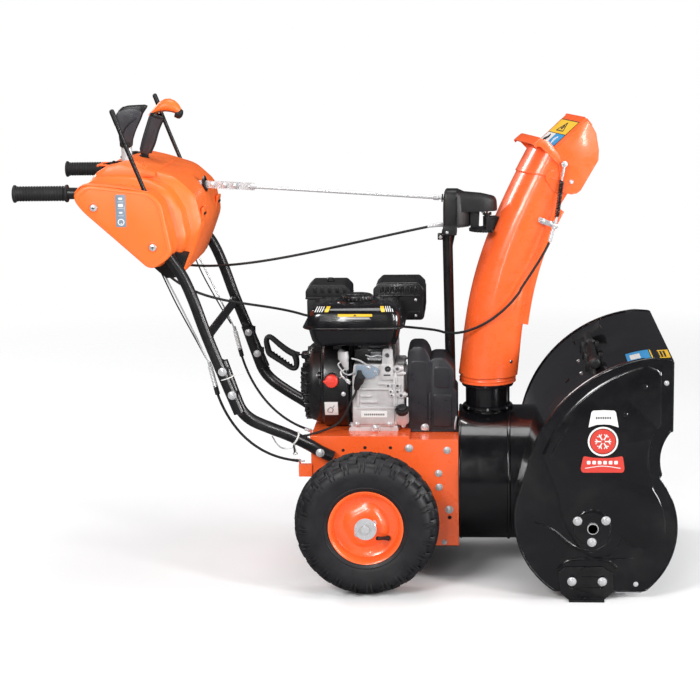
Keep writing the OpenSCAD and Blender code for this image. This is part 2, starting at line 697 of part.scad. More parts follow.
front_edge = [for (i = [0:12]) bezier(chute_front, 0.34 + 0.66 * i / 12)];
flange_edge = [for (i = [0:10]) bezier(chute_front, 0.34 + 0.56 * i / 10)];
ear = [[392, 921], [414, 884], [451, 886], [469, 900], [471, 914], [459, 925], [403, 942]];

// Turns parts of the chute about its upright axis, away from straight ahead
module turned() translate([chute_x, 0, 0]) rotate([0, 0, chute_yaw]) translate([-chute_x, 0, 0]) children();

module chute() color(orange) placed() turned() {
    difference() {
        loft([for (k = [0:chute_steps]) chute_section(k, 0)]);
        loft(concat([chute_section(0, 2, -4)], [for (k = [1:chute_steps - 1]) chute_section(k, 2)],
                    [chute_section(chute_steps, 2, 6)]));
        slab(concat(beside(front_edge, 12.7), [[700, 900], [700, 560]]), -90, 90);
    }
    for (s = [-1, 1]) {
        slab(strip(beside(flange_edge, 14), 3), s * 62 - 12, s * 62 + 12);
        slab(ear, s * 70.7 - 2, s * 70.7 + 2);
        translate([hinge[0], 0, hinge[1]]) bar_y(s * 75 - 4.5, s * 75 + 4.5, 5);
    }
    translate([chute_x, 0, ring_z]) difference() {
        cylinder(h = 20, r = ring_r);
        translate([0, 0, -1]) cylinder(h = 22, r = outlet_r + 9);
    }
}

module chute_gear() color(bare_steel) placed() turned() translate([chute_x, 0, 0]) difference() {
    union() {
        intersection() {
            translate([0, 0, lock_ring_z]) gear(36, 2.25, 6, 0, 0.2);
            box([-60, -60, lock_ring_z - 1], [3, 60, lock_ring_z + 20]);
        }
        translate([0, 0, lock_ring_z]) cylinder(h = crown_z - lock_ring_z, r = 7);
        translate([0, 0, crown_z - 3]) cylinder(h = 3, r = crown_r + 1.5);
        for (i = [0:7]) rotate([0, 0, 45 * i + 22.5])
            translate([crown_r - 1.5, -0.8, crown_z - 1]) cube([3, 1.6, 4]);
        slab([[-6, 797], [11.5, 797], [25.5, 829], [-6, 829]], -14, 14);
    }
    translate([0, 0, lock_ring_z - 5]) cylinder(h = 60, r = 3 + run);
}

// Rod from the joystick to the chute gear, with its toothed sector
module chute_rod() color(bare_steel) placed() difference() {
    union() {
        bar(rod_point(-560), rod_point(rod_front[0] + 5), 4);
        translate(rod_point(-395)) rotate([0, rod_slope, 0]) box([0, -3, -9], [120, 3, 9]);
        translate(rod_front) rotate([0, rod_slope, 0]) rotate([-chute_yaw / 3, 0, 0]) {
            intersection() {
                bar_x(1, 6, sector_r - 1);
                plate_x([[0, 8], [-30, -40], [30, -40]], 0, 8);
            }
            for (i = [-2:2]) rotate([15 * i, 0, 0])
                box([0.5, -0.8, -sector_r - 3], [6.5, 0.8, -sector_r + 6]);
        }
    }
    translate(rod_point(-533)) bar_y(-10, 10, 2.5);
}

deflector_outline = [
    [383, 994], [380, 1013], [411, 987], [492, 1056], [503, 1039], [514, 1020], [521, 981],
    [520, 958], [477, 889], [470, 885], [454, 881], [433, 886], [425, 952]
];
deflector_half = 76;

module deflector() color(orange) placed() turned() {
    for (s = [-1, 1])
        difference() {
            slab(deflector_outline, s * deflector_half - (s + 1), s * deflector_half - (s - 1));
            translate([hinge[0], 0, hinge[1]]) bar_y(-200, 200, 5 + run);
        }
    slab(strip([[362, 1000], [379, 1015], [411, 987], [492, 1057]], -2.5),
         -deflector_half, deflector_half);
}

module deflector_link() color(bare_steel) placed() turned() {
    bar([431, -82, 923], [436, -82, 950], 2.5);
    translate([436, 0, 952]) bar_y(-86, -deflector_half - 0.5, 6);
}

module deflector_spring() color(dark_plastic) placed() turned() {
    bar([400, -84, 776], [417, -82, 826], 4.5);
    bar([416.8, -82, 825], [430, -82, 918], 5.5);
    box([388, -84, 806], [421, -74.4, 820]);
}

// ---- cables ----

function cable(points, n) = [for (i = [0:n]) bezier(points, i / n)];

module clutch_cables() color(rubber_black) placed() {
    for (s = [-1, 1]) {
        bar([-462, s * 222, 752], [-354, s * 222, 520], 2.2);
        bar([-354, s * 222, 518], [-340, s * 222, 462], 6);
        hose(cable([[-340, s * 222, 462], [-318, s * 214, 380], [-262, s * 196, 298],
                    [-152, s * 150, 279]], 14), 3, 8);
    }
    hose(cable([[-442, 30, 716], [-300, 20, 700], [-80, -6, 768], [166, -20, 812]], 20), 3, 8);
}

module deflector_cable() color(rubber_black) placed()
    hose(concat(
        cable([[-462, -140, 722], [-380, -130, 640], [-280, 20, 630], [-170, 46, 592]], 10),
        cable([[-160, 46, 589], [-80, 46, 570], [130, 56, 556], [160, 0, 558]], 10),
        cable([[168, -12, 559], [215, -76, 553], [300, -84, 592], [350, -66, 662]], 10),
        cable([[353.5, -65, 669], [378, -60, 706], [404, -49, 742], [418.3, -44, 774.6]], 4)), 3, 8);

module recoil_rope() color(rubber_black) placed() bar([-120, 0, 497], [-171, 0, 502], 2.5);

module recoil_grip() color(rubber_black) placed() difference() {
    hull() {
        translate([-180, 0, 500]) bar_y(-14, 14, 8);
        translate([-184, 0, 470]) bar_y(-14, 14, 9);
        translate([-246, 0, 540]) bar_y(-12, 12, 11);
        translate([-238, 0, 508]) bar_y(-12, 12, 11);
    }
    hull() {
        translate([-194, 0, 501]) bar_y(-20, 20, 3);
        translate([-196, 0, 482]) bar_y(-20, 20, 4);
        translate([-240, 0, 536]) bar_y(-20, 20, 2);
        translate([-238, 0, 520]) bar_y(-20, 20, 2);
    }
}

// ---- hand controls ----

// Clutch lever rod with its hub, standing up from its pivot
module clutch_lever(s) color(gloss_black) placed() translate([lever_pivot[0], s * lever_y, lever_pivot[1]]) {
    bar_y(-6, 6, 9);
    rotate([0, -lever_lean, 0]) {
        cylinder(h = lever_l, r = lever_d / 2);
        translate([0, 0, lever_l]) sphere(r = lever_d / 2);
    }
}
module traction_lever() clutch_lever(-1);
module auger_lever() clutch_lever(1);

module gear_lever() {
    color(bare_steel) placed() translate([gear_pivot[0], gear_lever_y, gear_pivot[1]]) {
        box([-13, -2.5, 0], [13, 2.5, 150]);
        bar_y(-2.5, 2.5, 13);
    }
    color(dark_plastic) placed() translate([gear_pivot[0], gear_lever_y, 0]) hull() {
        box([-14, -12, 1014], [16, 12, 1016]);
        box([-22, -16, 1086], [-21, 16, 1088]);
        translate([36, 0, 1096]) bar_y(-14, 14, 6);
        translate([8, 0, 1100]) bar_y(-14, 14, 6);
    }
}

stick_pivot = rod_point(-533);
module joystick() {
    color(dark_plastic) placed() translate(stick_pivot) {
        union() {
            bar([0, 0, 12], [2, 0, 46], 9);
            hull() {
                translate([2, 0, 44]) bar_y(-9, 9, 9);
                translate([22, 0, 90]) bar_y(-11, 11, 11);
                translate([34, 0, 142]) bar_y(-12, 12, 13);
            }
            for (s = [-1, 1]) box([-9, s * 11 - 3, -9], [9, s * 11 + 3, 18]);
            box([-9, -14, 12], [9, 14, 18]);
            bar_y(-16, 16, 2.45);
        }
    }
    color(orange_plastic) placed() translate(stick_pivot) hull() {
        translate([30, 0, 156]) bar_y(-18, 18, 14);
        translate([60, 0, 178]) bar_y(-18, 18, 15);
        translate([86, 0, 160]) bar_y(-15, 15, 12);
        translate([88, 0, 152]) bar_y(-13, 13, 8);
    }
}

module engine_switch() color([0.85, 0.13, 0.10]) placed() translate([-87, 0, 462]) {
    bar_y(-126, -111.5, 15);
    box([-20, -126, -4], [0, -119, 4]);
}

module fuel_cap() color(gloss_black) placed() translate([-28, -52, 643]) {
    cylinder(h = 14, r = 36);
    translate([0, 0, -16]) cylinder(h = 17, r = 26);
    for (i = [0:5]) rotate([0, 0, 60 * i]) translate([30, -6, 0]) cube([8, 12, 14]);
}

dip_base = [76, -92, 366];
dip_lean = 40;
module dipstick() color(gloss_black) placed() translate(dip_base) rotate([dip_lean, 0, 0]) {
    translate([0, 0, 24.5]) cylinder(h = 12, r = 15);
    translate([0, 0, 36]) cylinder(h = 6, r = 10);
}

// ---- parts on the housing ----

skid_bolts = [462, 530];
skid_bolt_z = 43;
skid_outline = [
    [432, 64], [446, 76], [530, 76], [553, 62], [555, 20], [534, 0], [455, 0], [438, 14]
];
module skid_shoe(s) color(gloss_black) placed() difference() {
    union() {
        slab(skid_outline, min(s * (housing_half + 0.5), s * (housing_half + 4.5)),
             max(s * (housing_half + 0.5), s * (housing_half + 4.5)));
        box([455, min(s * (housing_half + 4), s * (housing_half + 22)), 0],
            [534, max(s * (housing_half + 4), s * (housing_half + 22)), 4]);
    }
    for (x = skid_bolts, z = [30.5, 53]) translate([x, 0, z]) bar_y(-400, 400, 4.4);
    for (x = skid_bolts) box([x - 4.4, -400, 30.5], [x + 4.4, 400, 53]);
}
module skid_shoe_right() skid_shoe(-1);
module skid_shoe_left() skid_shoe(1);

module cleanout_tool() color(dark_plastic) placed() {
    translate([tool_x, 0, tool_z]) bar_y(-252, 90, 10);
    translate([tool_x, 0, tool_z]) bar_y(-252, -200, 13);
    translate([tool_x, 0, tool_z]) bar_y(-30, -22, 15);
    translate([tool_x, 86, tool_z]) rotate([0, -30, 0]) box([-38, 0, -3], [38, 92, 3]);
}

chassis();
bottom_plate();
lower_handle_right();
lower_handle_left();
upper_handle_right();
upper_handle_left();
handle_crossbar();
grip_right();
grip_left();
console();
frame_bolts();
engine_block();
fan_housing();
recoil_cover();
fuel_tank();
air_filter();
muffler();
belt_cover();
control_post();
gear_cover();
auger_housing();
scraper_bar();
auger_bearings();
gearbox_case();
drive_belts();
clutch_cables();
deflector_cable();
recoil_rope();
wheel_axle();
rim_right();
rim_left();
tyre_right();
tyre_left();
hex_shaft();
friction_wheel();
drive_disc();
crankshaft();
impeller();
impeller_shaft();
auger_shaft();
auger_right();
auger_left();
chute();
chute_gear();
deflector_spring();
deflector();
deflector_link();
chute_rod();
joystick();
gear_lever();
traction_lever();
auger_lever();
recoil_grip();
engine_switch();
fuel_cap();
dipstick();
skid_shoe_right();
skid_shoe_left();
cleanout_tool();
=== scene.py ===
import json
import math

import bmesh
import bpy
from mathutils import Matrix, Vector


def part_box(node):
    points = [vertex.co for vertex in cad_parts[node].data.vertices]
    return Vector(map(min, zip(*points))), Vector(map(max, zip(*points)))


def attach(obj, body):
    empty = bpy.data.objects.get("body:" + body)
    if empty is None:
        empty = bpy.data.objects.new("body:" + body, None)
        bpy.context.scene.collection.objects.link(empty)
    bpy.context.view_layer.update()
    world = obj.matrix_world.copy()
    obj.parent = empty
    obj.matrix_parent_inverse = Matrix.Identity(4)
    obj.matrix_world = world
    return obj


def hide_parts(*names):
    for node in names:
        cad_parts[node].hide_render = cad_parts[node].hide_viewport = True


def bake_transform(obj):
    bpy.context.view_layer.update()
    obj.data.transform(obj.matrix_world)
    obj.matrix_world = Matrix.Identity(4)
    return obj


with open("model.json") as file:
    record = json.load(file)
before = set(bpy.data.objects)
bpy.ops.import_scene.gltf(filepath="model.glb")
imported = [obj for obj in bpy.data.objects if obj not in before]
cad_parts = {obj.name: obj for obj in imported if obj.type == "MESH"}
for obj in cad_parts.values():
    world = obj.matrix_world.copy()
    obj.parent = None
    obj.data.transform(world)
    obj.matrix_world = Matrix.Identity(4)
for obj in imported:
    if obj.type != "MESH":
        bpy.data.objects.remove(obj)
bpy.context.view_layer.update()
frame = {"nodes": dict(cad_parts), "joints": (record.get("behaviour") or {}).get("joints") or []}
NODES = frame["nodes"]
MM = 0.001
TAU = 2 * math.pi
JOINTS = {j["name"]: j for j in frame["joints"]}

# Sizes in this file are millimetres measured from below the wheel axle, and make() moves them to the origin.
AXLE = Vector((JOINTS["wheel_spin"]["pos_m"][0] / MM, 0, 0))


def mm_box(node):
    """Lowest and highest corner of a CAD node, in millimetres from below the axle."""
    lo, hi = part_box(node)
    return Vector(lo) / MM - AXLE, Vector(hi) / MM - AXLE


def pivot(joint):
    """A joint's pivot, in millimetres from below the axle."""
    return Vector(JOINTS[joint]["pos_m"]) / MM - AXLE


def place(point):
    """A point of this file in the frame's metres."""
    return (Vector(point) + AXLE) * MM


# ---------------------------------------------------------------- materials

def mix_rgb(tree, factor, a, b, blend="MIX"):
    """A node that mixes two colours by a factor."""
    node = tree.nodes.new("ShaderNodeMix")
    node.data_type = "RGBA"
    node.blend_type = blend
    for socket, value in ((node.inputs[0], factor), (node.inputs[6], a), (node.inputs[7], b)):
        if hasattr(value, "links"):
            tree.links.new(value, socket)
        else:
            socket.default_value = value
    return node.outputs[2]


def noise(tree, scale, detail=4.0, rough=0.55, stretch=(1, 1, 1)):
    """Noise on the object's own coordinates, drawn out along an axis where asked."""
    coord = tree.nodes.new("ShaderNodeTexCoord")
    mapping = tree.nodes.new("ShaderNodeMapping")
    mapping.inputs["Scale"].default_value = stretch
    tex = tree.nodes.new("ShaderNodeTexNoise")
    tex.inputs["Scale"].default_value = scale
    tex.inputs["Detail"].default_value = detail
    tex.inputs["Roughness"].default_value = rough
    tree.links.new(coord.outputs["Object"], mapping.inputs["Vector"])
    tree.links.new(mapping.outputs["Vector"], tex.inputs["Vector"])
    return tex.outputs["Fac"]


def ranged(tree, value, a, b, lo=0.3, hi=0.7):
    """Maps a value between lo and hi to between a and b."""
    node = tree.nodes.new("ShaderNodeMapRange")
    node.inputs["From Min"].default_value = lo
    node.inputs["From Max"].default_value = hi
    node.inputs["To Min"].default_value = a
    node.inputs["To Max"].default_value = b
    tree.links.new(value, node.inputs["Value"])
    return node.outputs["Result"]


def material(name, color, rough=0.5, metal=0.0, coat=0.0, coat_rough=0.08, grain=900, bump=0.08,
             mottle=0.06, mottle_scale=14, rough_var=0.12, wear=None, dust=0.0, stretch=(1, 1, 1),
             waves=None):
    """A surface with colour drift, uneven gloss, fine relief, and where asked worn edges and dust."""
    mat = bpy.data.materials.new(name)
    mat.use_nodes = True
    tree = mat.node_tree
    bsdf = tree.nodes["Principled BSDF"]
    base = (*color, 1)
    dark = (*[c * (1 - mottle) for c in color], 1)
    light = (*[min(1, c * (1 + mottle)) for c in color], 1)
    drift = ranged(tree, noise(tree, mottle_scale, 5, 0.6, stretch), 0, 1)
    shade = mix_rgb(tree, drift, dark, light)
    if dust:
        film = ranged(tree, noise(tree, 9, 8, 0.7), 0, dust, 0.5, 0.75)
        shade = mix_rgb(tree, film, shade, (0.30, 0.27, 0.24, 1))
    if wear:
        edge = tree.nodes.new("ShaderNodeBevel")
        edge.samples = 4
        edge.inputs["Radius"].default_value = 0.0016
        geometry = tree.nodes.new("ShaderNodeNewGeometry")
        dot = tree.nodes.new("ShaderNodeVectorMath")
        dot.operation = "DOT_PRODUCT"
        tree.links.new(edge.outputs["Normal"], dot.inputs[0])
        tree.links.new(geometry.outputs["Normal"], dot.inputs[1])
        sharp = ranged(tree, dot.outputs["Value"], 1, 0, 0.90, 0.995)
        broken = ranged(tree, noise(tree, 120, 6, 0.7), 0, 0.7, 0.48, 0.66)
        times = tree.nodes.new("ShaderNodeMath")
        times.operation = "MULTIPLY"
        tree.links.new(sharp, times.inputs[0])
        tree.links.new(broken, times.inputs[1])
        shade = mix_rgb(tree, times.outputs["Value"], shade, (*wear, 1))
    tree.links.new(shade, bsdf.inputs["Base Color"])
    gloss = ranged(tree, noise(tree, 35, 6, 0.65, stretch), max(0.03, rough - rough_var),
                   rough + rough_var)
    tree.links.new(gloss, bsdf.inputs["Roughness"])
    bsdf.inputs["Metallic"].default_value = metal
    bsdf.inputs["Coat Weight"].default_value = coat
    bsdf.inputs["Coat Roughness"].default_value = coat_rough
    relief = noise(tree, grain, 3, 0.6, stretch)
    if waves:
        wave = tree.nodes.new("ShaderNodeTexWave")
        wave.inputs["Scale"].default_value = waves
        wave.inputs["Distortion"].default_value = 0.3
        coord = tree.nodes.new("ShaderNodeTexCoord")
        tree.links.new(coord.outputs["Object"], wave.inputs["Vector"])
        relief = wave.outputs["Fac"]
    node = tree.nodes.new("ShaderNodeBump")
    node.inputs["Strength"].default_value = bump
    node.inputs["Distance"].default_value = 0.0006
    tree.links.new(relief, node.inputs["Height"])
    tree.links.new(node.outputs["Normal"], bsdf.inputs["Normal"])
    mat.diffuse_color = base
    return mat


ORANGE = material("orange_paint", (0.93, 0.125, 0.024), 0.30, coat=0.35, grain=420, bump=0.05,
                  mottle=0.025, wear=(0.45, 0.30, 0.24), dust=0.015)
ORANGE_PLASTIC = material("orange_plastic", (0.92, 0.16, 0.022), 0.40, grain=1500, bump=0.16,
                          mottle=0.025)
BLACK_GLOSS = material("black_gloss_paint", (0.0045, 0.0045, 0.0055), 0.20, coat=0.6, coat_rough=0.06,
                       grain=300, bump=0.035, mottle=0.2, rough_var=0.07, wear=(0.10, 0.10, 0.10),
                       dust=0.03)
BLACK_SATIN = material("black_satin_paint", (0.007, 0.007, 0.008), 0.34, coat=0.2, grain=600, bump=0.07,
                       mottle=0.2, wear=(0.13, 0.13, 0.13), dust=0.05)
BLACK_PLASTIC = material("black_plastic", (0.010, 0.010, 0.011), 0.46, grain=1600, bump=0.28, mottle=0.15)
GREY_PLASTIC = material("grey_plastic", (0.040, 0.040, 0.046), 0.42, grain=1600, bump=0.2, mottle=0.08)
COVER_GREY = material("cover_plastic", (0.022, 0.021, 0.025), 0.36, grain=1300, bump=0.2, mottle=0.12)
RUBBER = material("rubber", (0.009, 0.009, 0.010), 0.66, grain=1100, bump=0.3, mottle=0.25, dust=0.03)
TYRE = material("tyre_rubber", (0.010, 0.010, 0.012), 0.50, grain=700, bump=0.3, mottle=0.3,
                mottle_scale=22, dust=0.03)
STEEL = material("zinc_steel", (0.66, 0.66, 0.67), 0.30, metal=0.5, grain=700, bump=0.12, mottle=0.10,
                 mottle_scale=60)
DARK_STEEL = material("dark_steel", (0.20, 0.20, 0.21), 0.42, metal=1.0, grain=500, bump=0.25, mottle=0.3)
CAST = material("cast_aluminium", (0.62, 0.60, 0.60), 0.50, metal=0.45, grain=380, bump=0.55, mottle=0.14,
                mottle_scale=30, dust=0.06)
CAST_IRON = material("cast_iron", (0.12, 0.12, 0.125), 0.55, metal=0.5, grain=260, bump=0.7, mottle=0.2)
RED = material("red_plastic", (0.72, 0.045, 0.028), 0.36, grain=1200, bump=0.15, mottle=0.06)
WHITE = material("label_white", (0.72, 0.72, 0.70), 0.38, coat=0.3, grain=1500, bump=0.05, mottle=0.04)
YELLOW = material("label_yellow", (0.84, 0.52, 0.03), 0.36, coat=0.3, grain=1500, bump=0.05, mottle=0.05)
BLUE = material("label_blue", (0.04, 0.30, 0.62), 0.36, coat=0.3, grain=1500, bump=0.05, mottle=0.05)
LABEL_RED = material("label_red", (0.60, 0.045, 0.03), 0.34, coat=0.3, grain=1500, bump=0.05, mottle=0.06)
INK = material("label_ink", (0.02, 0.02, 0.022), 0.40, coat=0.2, grain=1500, bump=0.05, mottle=0.1)
SLATE = material("label_slate", (0.20, 0.25, 0.31), 0.40, coat=0.2, grain=1500, bump=0.05, mottle=0.08)
NYLON = material("white_nylon", (0.70, 0.69, 0.66), 0.45, grain=900, bump=0.1, mottle=0.08)
# painted shade: a near-black fill set in holes, slots and recesses, standing in for the shade inside them
PAINTED_SHADE = material("painted_shade_fill", (0.006, 0.006, 0.007), 0.8, grain=500, bump=0.1, mottle=0.2)

# ---------------------------------------------------------------- point helpers

def fillet(points, r, n=4):
    """A closed outline with each corner rounded to about radius r."""
    out = []
    count = len(points)
    for i in range(count):
        a, b, c = (Vector(points[(i + k) % count]) for k in (-1, 0, 1))
        u, v = a - b, c - b
        cut = min(r, u.length * 0.45, v.length * 0.45)
        p, q = b + u.normalized() * cut, b + v.normalized() * cut
        for k in range(n + 1):
            t = k / n
            out.append(tuple(p * (1 - t) ** 2 + b * 2 * t * (1 - t) + q * t * t))
    return out


def arc(cx, cz, r, a0, a1, n=16):
    """Points of an arc, with its angles in degrees."""
    return [(cx + r * math.cos(math.radians(a0 + (a1 - a0) * i / n)),
             cz + r * math.sin(math.radians(a0 + (a1 - a0) * i / n))) for i in range(n + 1)]


def smooth_path(points, per=8):
    """Catmull-Rom curve through the points."""
    p = [Vector(q) for q in points]
    p = [p[0] * 2 - p[1]] + p + [p[-1] * 2 - p[-2]]
    out = []
    for i in range(1, len(p) - 2):
        for k in range(per):
            t = k / per
            out.append(0.5 * (2 * p[i] + (p[i + 1] - p[i - 1]) * t
                              + (2 * p[i - 1] - 5 * p[i] + 4 * p[i + 1] - p[i + 2]) * t * t
                              + (3 * p[i] - p[i - 1] - 3 * p[i + 1] + p[i + 2]) * t ** 3))
    out.append(p[-2])
    return out


def bezier(p, n):
    """Points along a cubic curve."""
    out = []
    for i in range(n + 1):
        t = i / n
        s = 1 - t
        out.append(Vector(p[0]) * s ** 3 + Vector(p[1]) * 3 * s * s * t
                   + Vector(p[2]) * 3 * s * t * t + Vector(p[3]) * t ** 3)
    return out


def aim(axis):
    """Rotation that turns +Z to the given direction."""
    return Vector((0, 0, 1)).rotation_difference(Vector(axis).normalized()).to_matrix().to_4x4()


# ---------------------------------------------------------------- piece builder

class Piece:
    """One mesh gathered from several closed shapes, each with its own material. Sizes in millimetres."""

    def __init__(self, name):
        self.name = name
        self.verts, self.faces, self.mats, self.index = [], [], [], []
        self.place = Matrix.Identity(4)

    def raw(self, verts, faces, mat):
        """Takes vertices and faces as they are."""
        if mat not in self.mats:
            self.mats.append(mat)
        base = len(self.verts)
        self.verts += [self.place @ Vector(v) for v in verts]
        self.faces += [tuple(base + i for i in f) for f in faces]
        self.index += [self.mats.index(mat)] * len(faces)
        return self

    def take(self, bm, mat):
        """Takes a finished bmesh."""
        bmesh.ops.recalc_face_normals(bm, faces=bm.faces)
        bm.verts.index_update()
        self.raw([v.co.copy() for v in bm.verts], [[v.index for v in f.verts] for f in bm.faces], mat)
        bm.free()
        return self

    def round_edges(self, bm, bevel, segs, angle=24):
        """Rounds the edges sharper than an angle."""
        if bevel > 0:
            edges = [e for e in bm.edges if e.is_manifold and e.calc_face_angle(0) > math.radians(angle)]
            bmesh.ops.bevel(bm, geom=edges, offset=bevel, segments=segs, profile=0.5, affect="EDGES",
                            clamp_overlap=True)

    def box(self, lo, hi, mat, bevel=1.0, segs=2, turn=None):
        """Box with rounded edges between two corners."""
        bm = bmesh.new()
        lo, hi = Vector(lo), Vector(hi)
        middle = (lo + hi) / 2
        bmesh.ops.create_cube(bm, size=1, matrix=Matrix.Diagonal((*(hi - lo), 1)))
        self.round_edges(bm, bevel, segs)
        move = Matrix.Translation(middle) @ (turn or Matrix.Identity(4))
        bmesh.ops.transform(bm, matrix=move, verts=bm.verts)
        return self.take(bm, mat)

    def prism(self, outline, a, b, mat, bevel=1.0, segs=2, plane="xz", angle=24):
        """Outline in one plane, thickened from a to b along the remaining axis."""
        bm = bmesh.new()
        spot = {"xz": lambda p, w: (p[0], w, p[1]), "xy": lambda p, w: (p[0], p[1], w),
                "yz": lambda p, w: (w, p[0], p[1])}[plane]
        low = [bm.verts.new(spot(p, a)) for p in outline]
        high = [bm.verts.new(spot(p, b)) for p in outline]
        bm.faces.new(low)
        bm.faces.new(list(reversed(high)))
        for i in range(len(outline)):
            j = (i + 1) % len(outline)
            bm.faces.new([low[i], high[i], high[j], low[j]])
        bmesh.ops.recalc_face_normals(bm, faces=bm.faces)
        self.round_edges(bm, bevel, segs, angle)
        return self.take(bm, mat)

    def lathe(self, profile, origin, axis, mat, segs=48):
        """Profile of (radius, height) turned about an axis through origin."""
        turn = Matrix.Translation(Vector(origin)) @ aim(axis)
        verts, faces, rows = [], [], []
        for r, h in profile:
            if r < 1e-6:
                rows.append([len(verts)])
                verts.append(turn @ Vector((0, 0, h)))
            else:
                rows.append(list(range(len(verts), len(verts) + segs)))
                verts += [turn @ Vector((r * math.cos(TAU * k / segs), r * math.sin(TAU * k / segs), h))
                          for k in range(segs)]
        for p, q in zip(rows[:-1], rows[1:]):
            for k in range(segs):
                m = (k + 1) % segs
                if len(p) == 1 and len(q) == 1:
                    continue
                if len(p) == 1:
                    faces.append((p[0], q[m], q[k]))
                elif len(q) == 1:
                    faces.append((p[k], p[m], q[0]))
                else:
                    faces.append((p[k], p[m], q[m], q[k]))
        return self.raw(verts, faces, mat)

    def loft(self, rings, mat, caps=True, closed=False):
        """Skin over a row of equal rings."""
        n = len(rings[0])
        verts = [Vector(v) for ring in rings for v in ring]
        faces = []
        last = len(rings) if closed else len(rings) - 1
        for k in range(last):
            for i in range(n):
                a, b = k * n + i, k * n + (i + 1) % n
                c, d = ((k + 1) % len(rings)) * n + (i + 1) % n, ((k + 1) % len(rings)) * n + i
                faces.append((a, b, c, d))
        if caps and not closed:
            faces.append(tuple(range(n - 1, -1, -1)))
            faces.append(tuple((len(rings) - 1) * n + i for i in range(n)))
        bm = bmesh.new()
        made = [bm.verts.new(v) for v in verts]
        for f in faces:
            bm.faces.new([made[i] for i in f])
        return self.take(bm, mat)

    def tube(self, points, r, mat, segs=14, closed=False):
        """Round bar along a path. r is one radius or one for each point."""
        p = [Vector(q) for q in points]
        rings = []
        side = None
        for i, q in enumerate(p):
            if closed:
                t = (p[(i + 1) % len(p)] - p[i - 1]).normalized()
            else:
                t = (p[min(i + 1, len(p) - 1)] - p[max(i - 1, 0)]).normalized()
            if side is None:
                side = t.cross(Vector((0.11, 1, 0.07))).normalized()
            side = (side - t * side.dot(t)).normalized()
            up = t.cross(side)
            radius = r[i] if isinstance(r, (list, tuple)) else r
            rings.append([q + radius * (math.cos(TAU * k / segs) * side + math.sin(TAU * k / segs) * up)
                          for k in range(segs)])
        return self.loft(rings, mat, closed=closed)

    def rod(self, a, b, r, mat, segs=20, soft=0.6):
        """Straight bar with eased ends."""
        a, b = Vector(a), Vector(b)
        length = (b - a).length
        e = min(soft, r * 0.4, length * 0.4)
        return self.lathe([(0, 0), (r - e, 0), (r, e), (r, length - e), (r - e, length), (0, length)],
                          a, b - a, mat, segs)

    def coil(self, a, b, r, wire, turns, mat, segs=8):
        """Coil spring between two points."""
        a, b = Vector(a), Vector(b)
        axis = (b - a).normalized()
        side = axis.cross(Vector((0.1, 1, 0.05))).normalized()
        up = axis.cross(side)
        steps = int(turns * 14)
        path = [a]
        for i in range(steps + 1):
            t = i / steps
            ang = TAU * turns * t
            path.append(a.lerp(b, 0.04 + 0.92 * t) + r * (math.cos(ang) * side + math.sin(ang) * up))
        path.append(b)
        return self.tube(path, wire, mat, segs)

    def bolt(self, pos, axis, size, mat=None, washer=True, height=0.62):
        """Hex flange bolt: washer, flange, chamfered head."""
        mat = mat or STEEL
        pos = Vector(pos)
        axis = Vector(axis).normalized()
        if washer:
            self.lathe([(size * 0.4, 0), (size * 1.32, 0), (size * 1.36, size * 0.06),
                        (size * 1.32, size * 0.14), (size * 0.4, size * 0.14)], pos, axis, mat, 28)
        base = pos + axis * size * 0.13
        self.lathe([(0, 0), (size * 1.08, 0), (size * 1.10, size * 0.08), (size * 0.9, size * 0.18),
                    (0, size * 0.18)], base, axis, mat, 28)
        turn = Matrix.Translation(base) @ aim(axis) @ Matrix.Rotation(pos.x * 0.37 + pos.z * 0.21, 4, "Z")
        bm = bmesh.new()
        bmesh.ops.create_cone(bm, cap_ends=True, segments=6, radius1=size * 0.84, radius2=size * 0.84,
                              depth=size * height)
        bmesh.ops.translate(bm, vec=(0, 0, size * (0.16 + height / 2)), verts=bm.verts)
        self.round_edges(bm, size * 0.09, 2)
        bmesh.ops.transform(bm, matrix=turn, verts=bm.verts)
        return self.take(bm, mat)

    def screw(self, pos, axis, r, mat=None):
        """Domed pan head with a cross recess."""
        mat = mat or STEEL
        self.lathe([(0, 0), (r, 0), (r * 1.02, r * 0.12), (r * 0.86, r * 0.42), (r * 0.5, r * 0.6),
                    (0, r * 0.64)], pos, axis, mat, 24)
        turn = Matrix.Translation(Vector(pos)) @ aim(axis)
        # cross recess filled with painted shade
        for k in (0, 1):
            bm = bmesh.new()
            size = (r * 0.9, r * 0.16, r * 0.3) if k else (r * 0.16, r * 0.9, r * 0.3)
            bmesh.ops.create_cube(bm, size=1, matrix=turn @ Matrix.Translation((0, 0, r * 0.52))
                                  @ Matrix.Diagonal((*size, 1)))
            self.take(bm, PAINTED_SHADE)
        return self

    def patch(self, corners, mat, lift, thick=0.25):
        """Thin label: a flat polygon in space, lifted along its own normal."""
        p = [Vector(c) for c in corners]
        normal = Vector((0, 0, 0))
        for i in range(len(p)):
            normal += (p[i] - p[0]).cross(p[(i + 1) % len(p)] - p[0])
        normal.normalize()
        low = [q + normal * lift for q in p]
        high = [q + normal * (lift + thick) for q in p]
        n = len(p)
        faces = [tuple(range(n - 1, -1, -1)), tuple(range(n, 2 * n))]
        faces += [(i, (i + 1) % n, n + (i + 1) % n, n + i) for i in range(n)]
        return self.raw(low + high, faces, mat)

    def make(self, body, slot_name, replaces=(), sharp=34, subsurf=0):
        """Turns the gathered shapes into an object that rides on a body."""
        mesh = bpy.data.meshes.new(self.name)
        mesh.from_pydata([place(v) for v in self.verts], [], self.faces)
        for mat in self.mats:
            mesh.materials.append(mat)
        mesh.polygons.foreach_set("material_index", self.index)
        mesh.validate()
        mesh.shade_smooth()
        mesh.set_sharp_from_angle(angle=math.radians(sharp))
        obj = bpy.data.objects.new(self.name, mesh)
        bpy.context.scene.collection.objects.link(obj)
        if subsurf:
            mod = obj.modifiers.new("smooth", "SUBSURF")
            mod.levels = mod.render_levels = subsurf
        if body:
            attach(obj, body)
        if replaces:
            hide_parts(*replaces)
        return obj


